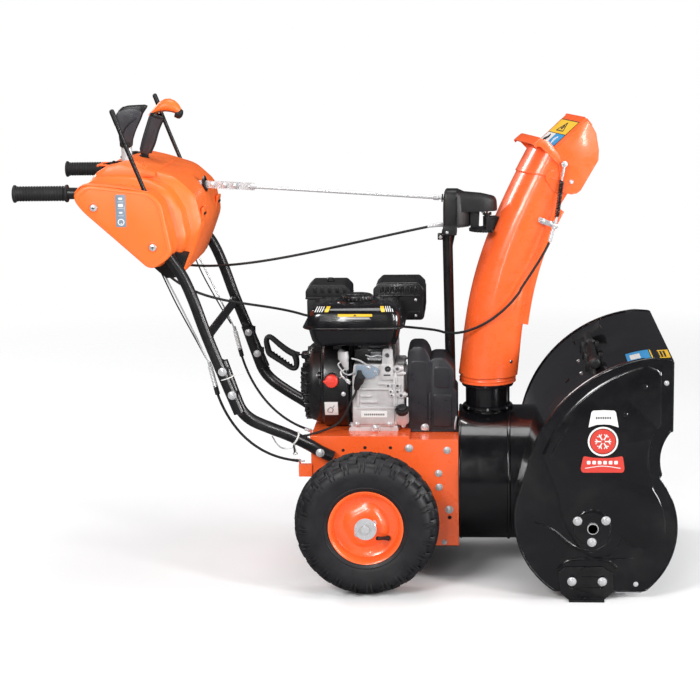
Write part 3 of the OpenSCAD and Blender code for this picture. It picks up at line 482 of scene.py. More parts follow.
# ---------------------------------------------------------------- CAD nodes that stay in view

def finish_node(name, mat, bevel=0.8, segs=2, angle=32):
    """A CAD node keeps its shape: its edges are eased by a modifier and it gets a real surface."""
    obj = NODES[name]
    mesh = obj.data
    if "custom_normal" in mesh.attributes:
        mesh.attributes.remove(mesh.attributes["custom_normal"])
    mesh.materials.clear()
    mesh.materials.append(mat)
    mesh.shade_smooth()
    weld = obj.modifiers.new("weld", "WELD")
    weld.merge_threshold = 0.00002
    if bevel:
        mod = obj.modifiers.new("ease", "BEVEL")
        mod.width = bevel * MM
        mod.segments = segs
        mod.limit_method = "ANGLE"
        mod.angle_limit = math.radians(angle)
        mod.harden_normals = True
        mod.use_clamp_overlap = True
    mesh.set_sharp_from_angle(angle=math.radians(angle))


for node_name, node_material, node_bevel in (
        ("chassis", ORANGE, 0.8), ("bottom_plate", BLACK_SATIN, 0.8), ("auger_housing", BLACK_GLOSS, 0.7),
        ("scraper_bar", STEEL, 0.8), ("gearbox_case", CAST_IRON, 1.5), ("control_post", BLACK_SATIN, 0.8),
        ("wheel_axle", STEEL, 0.4), ("hex_shaft", STEEL, 0.4), ("friction_wheel", RUBBER, 1.0),
        ("drive_disc", DARK_STEEL, 0.5), ("crankshaft", DARK_STEEL, 0.5), ("impeller", BLACK_SATIN, 0.6),
        ("impeller_shaft", STEEL, 0.0), ("auger_shaft", STEEL, 0.4), ("chute_gear", BLACK_SATIN, 0.3),
        ("drive_belts", RUBBER, 0.4), ("skid_shoe_right", BLACK_SATIN, 0.8),
        ("skid_shoe_left", BLACK_SATIN, 0.8)):
    finish_node(node_name, node_material, node_bevel)


# ---------------------------------------------------------------- wheels

def crown_radius(y, top):
    """Tyre section: outside radius at distance y from the tyre's middle."""
    return top - 9.0 * (abs(y) / 30) ** 2.4 if abs(y) < 34 else top - 12.1 - (abs(y) - 34) * 1.6


def wheel(side):
    """Tyre with its tread blocks, and the pressed rim with its hub, pin and valve."""
    lo, hi = mm_box("tyre_right" if side < 0 else "tyre_left")
    centre = (lo + hi) / 2
    out = Vector((0, side, 0))
    radius = (hi.z - lo.z) / 2
    half = (hi.y - lo.y) / 2
    bead = 80.0
    tyre = Piece("tyre_right_knobbly" if side < 0 else "tyre_left_knobbly")
    base = radius - 11.0
    profile = [(bead, -36), (bead + 5, -40.5)]
    profile += [(86, -44), (92, -47.5), (104, -half + 2.2), (118, -half + 0.6), (130, -half + 0.8),
                (140, -half + 4.5), (147, -half + 10.5)]
    profile += [(base - 5.5, -33), (base - 2.2, -22), (base - 0.5, -10), (base, 0), (base - 0.5, 10),
                (base - 2.2, 22), (base - 5.5, 33)]
    profile += [(r, -h) for r, h in reversed(profile[2:9])] + [(bead + 5, 40.5), (bead, 36)]
    tyre.lathe(profile, centre, out, TYRE, 96)
    # moulded line where the rim protector starts
    for s in (-1, 1):
        tyre.lathe([(93, s * 47.4), (94.2, s * 49.0), (95.4, s * 48.6), (95.4, s * 47)], centre, out,
                   TYRE, 96)
    turn = Matrix.Translation(centre) @ aim(out)
    pitches = 24

    def lug(a0, a1, y0, y1, top, skew=0.0, foot=3.0, taper=0.13):
        """Tread block between two angles and two widths, tapered to its top."""
        rows = []
        for level, shrink in ((0, 0.0), (1, taper * 0.7), (1, taper * 1.5)):
            ring = []
            am, ym = (a0 + a1) / 2, (y0 + y1) / 2
            steps = [(a0, y0), (am, y0), (a1, y0), (a1, ym), (a1, y1), (am, y1), (a0, y1), (a0, ym)]
            for a, y in steps:
                a2 = am + (a - am) * (1 - shrink) + skew * (y - ym)
                y2 = ym + (y - ym) * (1 - shrink)
                r = crown_radius(y2, base) - foot if level == 0 else crown_radius(y2, radius) + top
                if shrink < taper and level == 1:
                    r -= 1.2
                ring.append(turn @ Vector((r * math.cos(a2), r * math.sin(a2), y2)))
            rows.append(ring)
        tyre.loft(rows, TYRE)

    step = TAU / pitches
    for k in range(pitches):
        a = k * step
        shift = step / 2
        lug(a - 0.30 * step, a + 0.26 * step, -13.5, -1.2, 0, 0.0035)
        lug(a + shift - 0.30 * step, a + shift + 0.26 * step, 1.2, 13.5, 0, -0.0035)
        for s, phase in ((-1, 0.18), (1, 0.68)):
            b = a + phase * step
            lug(b - 0.27 * step, b + 0.27 * step, s * 16.5, s * 33.5, 0.2, s * 0.002)
            c = b + 0.5 * step
            lug(c - 0.27 * step, c + 0.27 * step, s * 24, s * 44.5, 0.6, 0.0)
            # two short bars of each shoulder block run down the sidewall
            for d in (-0.13, 0.13):
                ang = c + d * step
                wide = 0.055 * step
                rows = []
                for r, y, raise_ in ((151, 42.0, 4.2), (145, half - 7.0, 4.6), (139, half - 3.4, 4.0),
                                     (133, half - 2.0, 2.8), (128, half - 1.4, 0.2)):
                    ring = []
                    for da, up in ((-wide, -1.5), (wide, -1.5), (wide * 0.8, raise_),
                                   (-wide * 0.8, raise_)):
                        yy = min(y + up * 0.55, half - 0.05)
                        rr = r + up * 0.45
                        ring.append(turn @ Vector((rr * math.cos(ang + da), rr * math.sin(ang + da),
                                                   s * yy)))
                    rows.append(ring)
                tyre.loft(rows, TYRE)
    tyre.make("wheels", "tyre_rubber", ["tyre_right" if side < 0 else "tyre_left"], sharp=40)

    rim = Piece("rim_right_pressed" if side < 0 else "rim_left_pressed")
    outer = [(77.8, -36), (77.8, 36), (81, 39.6), (84.4, 43.0), (85.6, 45.0), (84.8, 46.4), (82.6, 45.6),
             (79.6, 42.6), (76.6, 38), (75.6, 30), (73.0, 22.5), (67, 18.6), (60, 17.4), (52, 17.2)]
    inner = [(52, 14.6), (60, 14.8), (68, 16.2), (73.4, 20), (75.0, 10), (75.2, -30), (76.6, -38),
             (79.6, -42.6), (82.6, -45.6), (84.8, -46.4), (85.6, -45.0), (84.4, -43.0), (81, -39.6)]
    rim.lathe(outer + inner + [outer[0]], centre, out, ORANGE, 96)
    # raised rounded-square centre of the pressing
    rows = []
    n = 64
    for size, height, square in ((54, 17.0, 0.0), (50, 17.6, 0.25), (43, 21, 0.75), (37, 25, 1.0),
                                 (33, 27.4, 1.0), (28, 28.2, 0.6), (21, 28.6, 0.1), (17.2, 28.7, 0)):
        ring = []
        for k in range(n):
            t = TAU * k / n
            c, s_ = abs(math.cos(t)), abs(math.sin(t))
            p = 2 + 2.4 * square
            r = size / ((c ** p + s_ ** p) ** (1 / p)) * (1 - 0.04 * square)
            ring.append(turn @ Vector((r * math.cos(t + 0.5), r * math.sin(t + 0.5), height)))
        rows.append(ring)
    back = [[v - out * 2.6 for v in ring] for ring in reversed(rows)]
    rim.loft(rows + back, ORANGE, caps=False, closed=True)
    # hub tube with its weld, cross pin and valve
    rim.lathe([(9.6, 53), (9.6, -40), (16.4, -40), (17, -39), (17, 52.4), (16.2, 53.2), (9.6, 53.2)],
              centre, out, ORANGE, 48)
    rim.lathe([(16.6, 27.5), (20.8, 28.6), (19.6, 31.2), (16.8, 33)], centre, out, ORANGE, 48)
    rim.lathe([(17.2, 52.6), (24.5, 52.6), (25.2, 53.2), (24.5, 54.0), (9.8, 54.0)], centre, out, STEEL,
              48)
    lean = math.radians(35)
    across = Vector((math.cos(lean), 0, math.sin(lean)))
    at = centre + out * 46
    rim.rod(at - across * 28, at + across * 26, 3.6, STEEL)
    rim.lathe([(0, 0), (5.6, 0), (6.2, 1.2), (5.4, 3.0), (0, 4.0)], at + across * 25, across, STEEL, 24)
    rim.lathe([(0, 0), (5.0, 0), (5.6, 1.0), (5.0, 3.6), (0, 4.4)], at - across * 25, -across, STEEL, 24)
    stem_foot = centre + Vector((50, side * 20, -30))
    stem_tip = centre + Vector((30, side * 42, -24))
    rim.tube([stem_foot, stem_foot.lerp(stem_tip, 0.3), stem_foot.lerp(stem_tip, 0.7), stem_tip],
             [6, 4.4, 3.9, 3.6], RUBBER)
    rim.rod(stem_foot.lerp(stem_tip, 0.85), stem_tip + (stem_tip - stem_foot) * 0.22, 4.4, BLACK_PLASTIC)
    rim.make("wheels", "orange_paint", ["rim_right" if side < 0 else "rim_left"])


wheel(-1)
wheel(1)


# ---------------------------------------------------------------- handles

def handle_paths(side):
    """Centre lines of the two tubes on one side, as the CAD has them."""
    y0 = (mm_box("upper_handle_left")[0].y + 13)
    grip = mm_box("grip_left")
    gy = (grip[0].y + grip[1].y) / 2
    gz = (grip[0].z + grip[1].z) / 2
    upper = [(-286, y0, 419), (-325, y0, 518), (-358, y0, 605), (-382, y0, 676), (-404, y0, 729),
             (-427, y0, 765), (-455, y0, 806), (-490, y0, 845), (-525, y0, 878), (-562, y0 + 1, 903),
             (-600, (y0 + gy) / 2, 917), (-641, gy, gz), (-770, gy, gz)]
    lower = [(-326, 228, 532), (-300, 228, 455), (-285, 226, 418), (-262, 218, 393), (-225, 200, 371),
             (-180, 182, 348), (-140, 168, 324), (-111, 165, 306), (-82, 165, 292)]
    flip = lambda path: [Vector((x, side * y, z)) for x, y, z in path]
    return flip(upper), flip(lower)


def handles(side):
    """Upper and lower handle tube of one side, and the ribbed grip."""
    tag = "right" if side < 0 else "left"
    upper, lower = handle_paths(side)
    out = Vector((0, side, 0))
    p = Piece(f"upper_handle_{tag}_tube")
    p.tube(smooth_path(upper, 6), 13, BLACK_SATIN, 28)
    p.rod(upper[0] + Vector((-1, 0, -3)), upper[0] + Vector((1.5, 0, 3)), 12.6, BLACK_PLASTIC)
    for z in (516, 462):
        x = -320 + (516 - z) * 0.38
        p.bolt((x, side * 269.2, z), out, 7.2)
        p.box((x - 13, side * 256 - 1, z - 9), (x + 13, side * 256 + 1, z + 9), BLACK_SATIN)
    p.make("frame", "black_paint", [f"upper_handle_{tag}"])
    q = Piece(f"lower_handle_{tag}_tube")
    q.tube(smooth_path(lower, 6), 14, BLACK_SATIN, 28)
    q.rod(lower[0] + Vector((-1, 0, -2)), lower[0] + Vector((1, 0, 3)), 13.4, BLACK_PLASTIC)
    q.bolt((-111, side * 179.2, 306), out, 7.4)
    for z in (516, 462):
        x = -320 + (516 - z) * 0.38
        q.rod((x, side * 209, z), (x, side * 246, z), 4.6, STEEL)
        q.bolt((x, side * 214, z), -out, 6.6)
    if side < 0:
        # cable tie round the tube
        q.lathe([(14.1, -2), (15.6, -2), (15.6, 2), (14.1, 2)], lower[5] + Vector((12, 6, -7)),
                lower[6] - lower[5], NYLON, 28)
        q.tube([lower[5] + Vector((12, -8, -20)), lower[5] + Vector((16, -14, -34)),
                lower[5] + Vector((10, -12, -44))], 1.1, NYLON, 8)
    q.make("frame", "black_paint", [f"lower_handle_{tag}"])
    g = Piece(f"hand_grip_{tag}")
    lo, hi = mm_box(f"grip_{tag}")
    at = Vector((lo.x, (lo.y + hi.y) / 2, (lo.z + hi.z) / 2))
    length = hi.x - lo.x
    profile = [(0, 0), (17, 0), (19.4, 1.2), (20, 3.2), (19.2, 5.6), (16.4, 8)]
    ribs = 17
    for i in range(ribs):
        h = 10 + (length - 22) * i / (ribs - 1)
        profile += [(15.6, h - 2.4), (16.9, h - 1.6), (17.0, h + 0.8), (15.7, h + 1.8)]
    profile += [(16.6, length - 8), (19.0, length - 6), (19.9, length - 3.4), (19.2, length - 0.8),
                (16.5, length), (13.2, length), (13.2, length - 4)]
    g.lathe(profile, at, (1, 0, 0), RUBBER, 40)
    g.make("frame", "grip_rubber", [f"grip_{tag}"], sharp=28)


handles(-1)
handles(1)

bar_lo, bar_hi = mm_box("handle_crossbar")
bar_mid = (bar_lo + bar_hi) / 2
cross = Piece("handle_crossbar_tube")
cross.lathe([(0, bar_lo.y), (6, bar_lo.y), (9.6, bar_lo.y + 6), (10, bar_lo.y + 26), (10, bar_hi.y - 26),
             (9.6, bar_hi.y - 6), (6, bar_hi.y), (0, bar_hi.y)], (bar_mid.x, 0, bar_mid.z), (0, 1, 0),
            BLACK_SATIN, 28)
for s in (-1, 1):
    cross.lathe([(10.1, s * 226), (13.5, s * 231), (13.9, s * 240), (10.1, s * 241)],
                (bar_mid.x, 0, bar_mid.z), (0, 1, 0), BLACK_SATIN, 28)
cross.make("frame", "black_paint", ["handle_crossbar"])


# ---------------------------------------------------------------- console

SIDE = [(-638, 921), (-613, 943), (-560, 937), (-510, 931), (-464, 925), (-440, 900), (-431, 850),
        (-420, 790), (-434, 773), (-463, 755), (-478, 757), (-545, 817), (-617, 882), (-634, 904)]
MIDDLE = [(-630, 925), (-612, 956), (-580, 974), (-545, 978), (-500, 968), (-430, 946), (-385, 905),
          (-371, 835), (-393, 776), (-418, 722), (-440, 718), (-478, 757), (-560, 832), (-622, 890)]


def console_ring(y, blend, inset):
    """Section of the console at y, between the side's outline and the middle's."""
    pts = [Vector(a) * (1 - blend) + Vector(b) * blend for a, b in zip(SIDE, MIDDLE)]
    centre = sum(pts, Vector((0, 0))) / len(pts)
    soft = fillet([tuple(q) for q in pts], 16, 4)
    ring = []
    for x, z in soft:
        d = Vector((x, z)) - centre
        d *= 1 - inset / max(d.length, 1)
        ring.append((centre.x + d.x, y, centre.y + d.y))
    return ring


def console():
    """Console moulding with side shells, quadrant, gates, labels and openings."""
    half = mm_box("console")[1].y
    steps = [(half, 0, 7.5), (half - 0.8, 0, 4.2), (half - 3.0, 0, 1.6), (half - 7, 0, 0.3),
             (half - 14, 0, 0), (262, 0, 0), (252, 0.05, 0), (244, 0.12, 0.6), (240, 0.16, 2.6),
             (238, 0.18, 7), (236, 0.2, 12), (230, 0.24, 14), (224, 0.34, 9), (219, 0.42, 3),
             (212, 0.46, 0), (190, 0.5, 0), (181, 0.56, 0), (175, 0.74, 0), (170, 0.92, 0), (164, 1, 0),
             (120, 1, 0), (60, 1, 0)]
    rows = [console_ring(y, b, i) for y, b, i in steps]
    rows += [console_ring(-y, b, i) for y, b, i in reversed(steps)]
    p = Piece("console_moulding")
    p.loft(rows, ORANGE_PLASTIC)
    face = half
    for s in (-1, 1):
        y = s * half
        # raised panel line that follows the side's outline
        inner = [Vector(q) for q in SIDE]
        mid = sum(inner, Vector((0, 0))) / len(inner)
        ring = [mid + (q - mid) * 0.90 for q in inner]
        path = [(q[0], s * (face + 0.1), q[1]) for q in fillet([tuple(v) for v in ring], 14, 4)]
        p.tube(path, 0.9, ORANGE_PLASTIC, 8, closed=True)
        for x, z in ((-592, 892), (-463, 803)):
            p.lathe([(0, -2), (13, -2), (12.4, 0.4), (10.6, 1.0)], (x, y, z), (0, s, 0), ORANGE_PLASTIC,
                    32)
            p.screw((x, y + s * 0.6, z), (0, s, 0), 8.2)
        # slot for the clutch lever, filled with painted shade, and its lip
        p.prism(fillet([(-652, 927), (-652, 932), (-600, 938.8), (-474, 927.5), (-474, 923), (-600, 934)],
                       2, 2), s * 279 - 8, s * 279 + 8, PAINTED_SHADE, 0.6)
        for d in (-9.2, 9.2):
            p.tube(smooth_path([(-634, s * 279 + d, 925), (-613, s * 279 + d, 941.5),
                                (-560, s * 279 + d, 938), (-510, s * 279 + d, 932),
                                (-470, s * 279 + d, 925)], 5), 1.8, ORANGE_PLASTIC, 8)
    # near label panel with plain signs
    y = -half - 0.1
    p.prism(fillet([(-543, 849), (-520, 849), (-520, 921), (-543, 921)], 3, 3), y - 0.5, y + 1, SLATE,
            0.15)
    for z, w, h in ((912, 9, 5), (897, 11, 7), (881, 8, 4)):
        p.prism(fillet([(-531.5 - w / 2, z - h / 2), (-531.5 + w / 2, z - h / 2),
                        (-531.5 + w / 2, z + h / 2), (-531.5 - w / 2, z + h / 2)], 1.5, 2), y - 0.75, y,
                WHITE, 0.1)
        p.prism([(-538, z - 7.2), (-525, z - 7.2), (-525, z - 6.4), (-538, z - 6.4)], y - 0.75, y, WHITE,
                0)
    p.lathe([(5.4, 0.4), (5.4, 0.9), (7.6, 0.9), (7.6, 0.4)], (-531.5, y, 860), (0, -1, 0), WHITE, 32)
    p.rod((-531.5, y, 856.5), (-531.5, y - 0.8, 856.5), 1.4, WHITE)
    # half-moon quadrant of the gear lever, toothed along its inner edge
    moon = [(-590, 944), (-576, 966), (-557, 980), (-538, 986), (-516, 985), (-500, 976), (-482, 960),
            (-464, 944), (-448, 926), (-462, 916), (-580, 930)]
    p.prism(fillet(moon, 6, 3), -191, -176, ORANGE_PLASTIC, 2.4, 3)
    for k in range(8):
        t = k / 7
        x, z = -524 + 74 * t, 986 - 16 * t - 38 * t * t
        p.box((x - 3.0, -177, z - 12), (x + 3.0, -164, z + 1), ORANGE_PLASTIC, 1.4, 2)
    # hump across the middle, with the gates for the two hand controls
    hump = [(-604, 957), (-578, 972), (-545, 976.5), (-503, 967), (-470, 957.5), (-470, 950), (-604, 950)]
    rows = []
    for y, grow in ((-196, -6), (-192, 1.5), (-184, 3.2), (-60, 3.8), (60, 3.8), (120, 3.2), (128, 1.5),
                    (132, -6)):
        rows.append([(x, y, z + (grow if z > 951 else 0)) for x, z in fillet(hump, 7, 3)])
    p.loft(rows, ORANGE_PLASTIC)
    # toothed gate, filled with painted shade
    teeth = 7
    outline = [(-598, -156)]
    for i in range(teeth):
        x0 = -596 + i * 14
        outline += [(x0, -152), (x0 + 4, -158.5), (x0 + 9, -158.5), (x0 + 13, -152)]
    outline += [(-494, -156), (-492, -124), (-600, -124)]
    rise = lambda x: 981.5 - 0.0035 * (x + 552) ** 2 - (0.06 * (x + 552) if x > -552 else 0)
    low = [(x, y, rise(x) - 9) for x, y in outline]
    high = [(x, y, rise(x) + 0.6) for x, y in outline]
    p.loft([low, high], PAINTED_SHADE)
    rim = [(x, y) for x, y in fillet([(-606, -168), (-486, -168), (-486, -116), (-606, -116)], 6, 4)]
    p.tube([(x, y, rise(x) + 1.0) for x, y in rim], 2.4, ORANGE_PLASTIC, 10, closed=True)
    # gate plate and opening of the joystick
    ring = fillet([(-572, -64), (-448, -64), (-448, 64), (-572, 64)], 16, 6)
    gate = lambda x: 982.5 - 0.0032 * (x + 556) ** 2 - (0.07 * (x + 556) if x > -556 else 0)
    p.loft([[(x, y, gate(x) - 12) for x, y in ring], [(x, y, gate(x) - 0.4) for x, y in ring]],
           BLACK_PLASTIC)
    p.tube([(x, y, gate(x)) for x, y in ring], 2.6, BLACK_PLASTIC, 10, closed=True)
    # front face: opening for the chute rod, with its collar and painted shade inside, and a blanked switch
    # place with painted-shade slots
    p.lathe([(17, -3), (19.5, 1.2), (17.5, 2.6), (12.5, 2.6), (12, -6)], (-385, 0, 912), (1, 0, 0.12),
            BLACK_PLASTIC, 36)
    p.lathe([(0, 0.4), (12.2, 0.4)], (-385, 0, 912), (1, 0, 0.12), PAINTED_SHADE, 36)
    for s in (-1, 1):
        p.box((-376, s * 120 - 26, 846), (-370.6, s * 120 + 26, 872), ORANGE_PLASTIC, 1.6, 3,
              Matrix.Rotation(math.radians(8), 4, "Y"))
        for k in (-1, 0, 1):
            p.rod((-371, s * 120 + k * 12, 857), (-368.6, s * 120 + k * 12, 857), 3, PAINTED_SHADE)
    # underside closing panel, coloured with painted shade
    p.prism([(-606, 872), (-484, 758), (-446, 724), (-420, 726), (-400, 775), (-470, 800)], -232, 232,
            PAINTED_SHADE, 1)
    p.make("frame", "orange_plastic", ["console"], sharp=30)


console()


# ---------------------------------------------------------------- clutch levers, gear lever, joystick

def clutch_lever(side):
    """Wire lever that folds down onto one hand grip."""
    name = "traction" if side < 0 else "auger"
    at = pivot(f"{name}_squeeze")
    lo, hi = mm_box(f"{name}_lever")
    tip = Vector((lo.x + 4.75, at.y, hi.z - 4))
    along = (tip - at).normalized()
    bend = Vector((-along.z, 0, along.x))
    p = Piece(f"{name}_clutch_lever")
    path = [at, at.lerp(tip, 0.25), at.lerp(tip, 0.5) + bend * 0.8, at.lerp(tip, 0.75) + bend * 0.9, tip]
    p.tube(smooth_path(path, 6), 4.75, BLACK_SATIN, 20)
    p.tube([tip - along * 34, tip - along * 33, tip - along * 4, tip + along * 0.5, tip + along * 2.6,
            tip + along * 3.4], [4.9, 5.9, 5.9, 5.5, 3.6, 1.2], BLACK_PLASTIC, 20)
    p.lathe([(0, -6), (8, -6), (9, -5), (9, 5), (8, 6), (0, 6)], at, (0, 1, 0), STEEL, 32)
    p.make(f"{name}_lever", "black_paint", [f"{name}_lever"])


clutch_lever(-1)
clutch_lever(1)


def gear_lever():
    """Flat steel lever with its moulded knob."""
    at = pivot("gear_tilt")
    p = Piece("gear_lever_bar")
    bar = [(at.x - 13, at.z - 4), (at.x - 10, at.z - 12), (at.x, at.z - 13), (at.x + 10, at.z - 12),
           (at.x + 13, at.z - 4), (at.x + 12, 1020), (at.x - 12, 1020)]
    p.prism(fillet(bar, 4, 3), at.y - 2.5, at.y + 2.5, STEEL, 0.6)
    p.bolt((at.x, at.y - 2.6, at.z), (0, -1, 0), 6)
    rows = []
    shape = [(1012, -546, 24, 17), (1015, -545.6, 29, 22), (1030, -544.6, 31, 24), (1052, -541.5, 39, 27),
             (1072, -537.5, 49, 29), (1088, -532.5, 61, 30), (1098, -527.5, 66, 29),
             (1104, -522.5, 58, 25), (1106.6, -519, 40, 16)]
    for z, x, w, d in shape:
        ring = []
        for k in range(40):
            t = TAU * k / 40
            c, s = math.cos(t), math.sin(t)
            px = math.copysign(abs(c) ** 0.62, c) * w / 2
            tilt = 0.10 * px * (z - 1012) / 95
            ring.append((x + px + 3, at.y + math.copysign(abs(s) ** 0.7, s) * d / 2,
                         z + tilt * (1 if z < 1100 else 0.4)))
        rows.append(ring)
    p.loft(rows, BLACK_PLASTIC)
    # lighter soft face on each side, with a moulded curve
    for s in (-1, 1):
        face = [(-556, 1022), (-530, 1022), (-521, 1048), (-508, 1074), (-501, 1092), (-516, 1101),
                (-543, 1099), (-561, 1090), (-558, 1056)]
        rows = []
        for inset, rise in ((0, 0), (1.2, 1.2), (3, 1.9)):
            mid = Vector((-532, 1064))
            ring = []
            for x, z in fillet(face, 6, 3):
                d = Vector((x, z)) - mid
                d *= 1 - inset / d.length
                q = mid + d
                swell = 10.6 + 4.4 * min(1, max(0, (q.y - 1012) / 76))
                ring.append((q.x, at.y + s * (swell - 1.2 + rise), q.y))
            rows.append(ring)
        p.loft(rows, GREY_PLASTIC)
        curve_path = smooth_path([(-550, at.y + s * 13.6, 1034), (-543, at.y + s * 15.2, 1052),
                                  (-531, at.y + s * 16.0, 1066), (-514, at.y + s * 16.4, 1078)], 6)
        p.tube(curve_path, 1.1, BLACK_PLASTIC, 8)
    p.make("gear_lever", "grey_plastic", ["gear_lever"], sharp=32)


gear_lever()


def joystick():
    """Hand control of the chute and the deflector."""
    at = pivot("joystick_tilt")
    p = Piece("joystick_grip")
    o = at
    for s in (-1, 1):
        p.prism(fillet([(o.x - 9, o.z - 9), (o.x + 9, o.z - 9), (o.x + 9, o.z + 18), (o.x - 9, o.z + 18)],
                       5, 4), o.y + s * 11 - 2.6, o.y + s * 11 + 2.6, STEEL, 0.6)
    p.box((o.x - 9, -13.4, o.z + 12), (o.x + 9, 13.4, o.z + 18), STEEL, 1)
    p.rod((o.x, -17, o.z), (o.x, 17, o.z), 2.45, STEEL)
    p.rod((o.x + 0.6, 0, o.z + 16), (o.x + 2.4, 0, o.z + 50), 8, BLACK_PLASTIC)
    # bellows at the foot
    profile = []
    for i in range(7):
        r = 21 - i * 1.9
        profile += [(r, 34 + i * 5.0), (r - 3.4, 36.5 + i * 5.0)]
    profile = [(18, 33)] + profile + [(8, 70)]
    p.lathe(profile, (o.x, 0, o.z), (0.10, 0, 1), RUBBER, 40)
    rows = []
    shape = [(62, 6, 17, 16), (66, 7, 22, 21), (76, 11, 25, 23), (92, 17.5, 27, 24), (108, 23, 27, 24),
             (122, 28, 26, 24), (134, 32.5, 27, 25), (143, 36, 30, 27), (149, 38.5, 32, 28)]
    for h, dx, w, d in shape:
        ring = []
        for k in range(36):
            t = TAU * k / 36
            c, s = math.cos(t), math.sin(t)
            ring.append((o.x + dx + math.copysign(abs(c) ** 0.8, c) * w / 2,
                         math.copysign(abs(s) ** 0.8, s) * d / 2,
                         o.z + h - 0.36 * math.copysign(abs(c) ** 0.8, c) * w / 2))
        rows.append(ring)
    p.loft(rows, GREY_PLASTIC)
    for s in (-1, 1):
        edge = smooth_path([(o.x + 9 + s * 11, 0, o.z + 68 - s * 4),
                            (o.x + 18 + s * 13.2, 0, o.z + 92 - s * 4.6),
                            (o.x + 28 + s * 13, 0, o.z + 122 - s * 4.6),
                            (o.x + 37 + s * 14, 0, o.z + 144 - s * 5)], 6)
        p.tube(edge, 3.2, BLACK_PLASTIC, 10)
    p.lathe([(15, 0), (17.6, 1), (18.4, 4.5), (17.4, 8), (14, 9)], (o.x + 38.5, 0, o.z + 147),
            (0.36, 0, 1), BLACK_PLASTIC, 40)
    # domed cap, swept forwards, with a thumb button at its nose
    rows = []
    cap = [(20, 153, 3, 4), (24, 155, 14, 16), (32, 160, 25, 28), (42, 167, 33, 36), (54, 172, 36, 39),
           (66, 173, 35, 38), (78, 170, 31, 34), (88, 164, 25, 27), (94, 159, 17, 19), (97, 156, 6, 8)]
    for dx, h, tall, wide in cap:
        ring = []
        for k in range(36):
            t = TAU * k / 36
            c, s = math.cos(t), math.sin(t)
            ring.append((o.x + dx + 0.30 * s * tall / 2, c * wide / 2,
                         o.z + h + s * tall / 2 * (1.0 if s > 0 else 0.72)))
        rows.append(ring)
    p.loft(rows, ORANGE_PLASTIC)
    p.tube([(o.x + 84, 0, o.z + 158), (o.x + 92, 0, o.z + 155), (o.x + 97, 0, o.z + 152.5),
            (o.x + 99.5, 0, o.z + 151.5)], [11.5, 12.2, 10.4, 5], BLACK_PLASTIC, 28)
    p.tube(smooth_path([(o.x + 28, -14.6, o.z + 157), (o.x + 56, -19, o.z + 163),
                        (o.x + 84, -14.8, o.z + 160)], 6), 0.9, BLACK_PLASTIC, 8)
    p.tube(smooth_path([(o.x + 28, 14.6, o.z + 157), (o.x + 56, 19, o.z + 163),
                        (o.x + 84, 14.8, o.z + 160)], 6), 0.9, BLACK_PLASTIC, 8)
    p.make("joystick", "grey_plastic", ["joystick"], sharp=32)


joystick()


# ---------------------------------------------------------------- engine

def ring_xy(x0, x1, y0, y1, r, z, n=6):
    """Rounded rectangle at height z."""
    return [(x, y, z) for x, y in fillet([(x0, y0), (x1, y0), (x1, y1), (x0, y1)], r, n)]


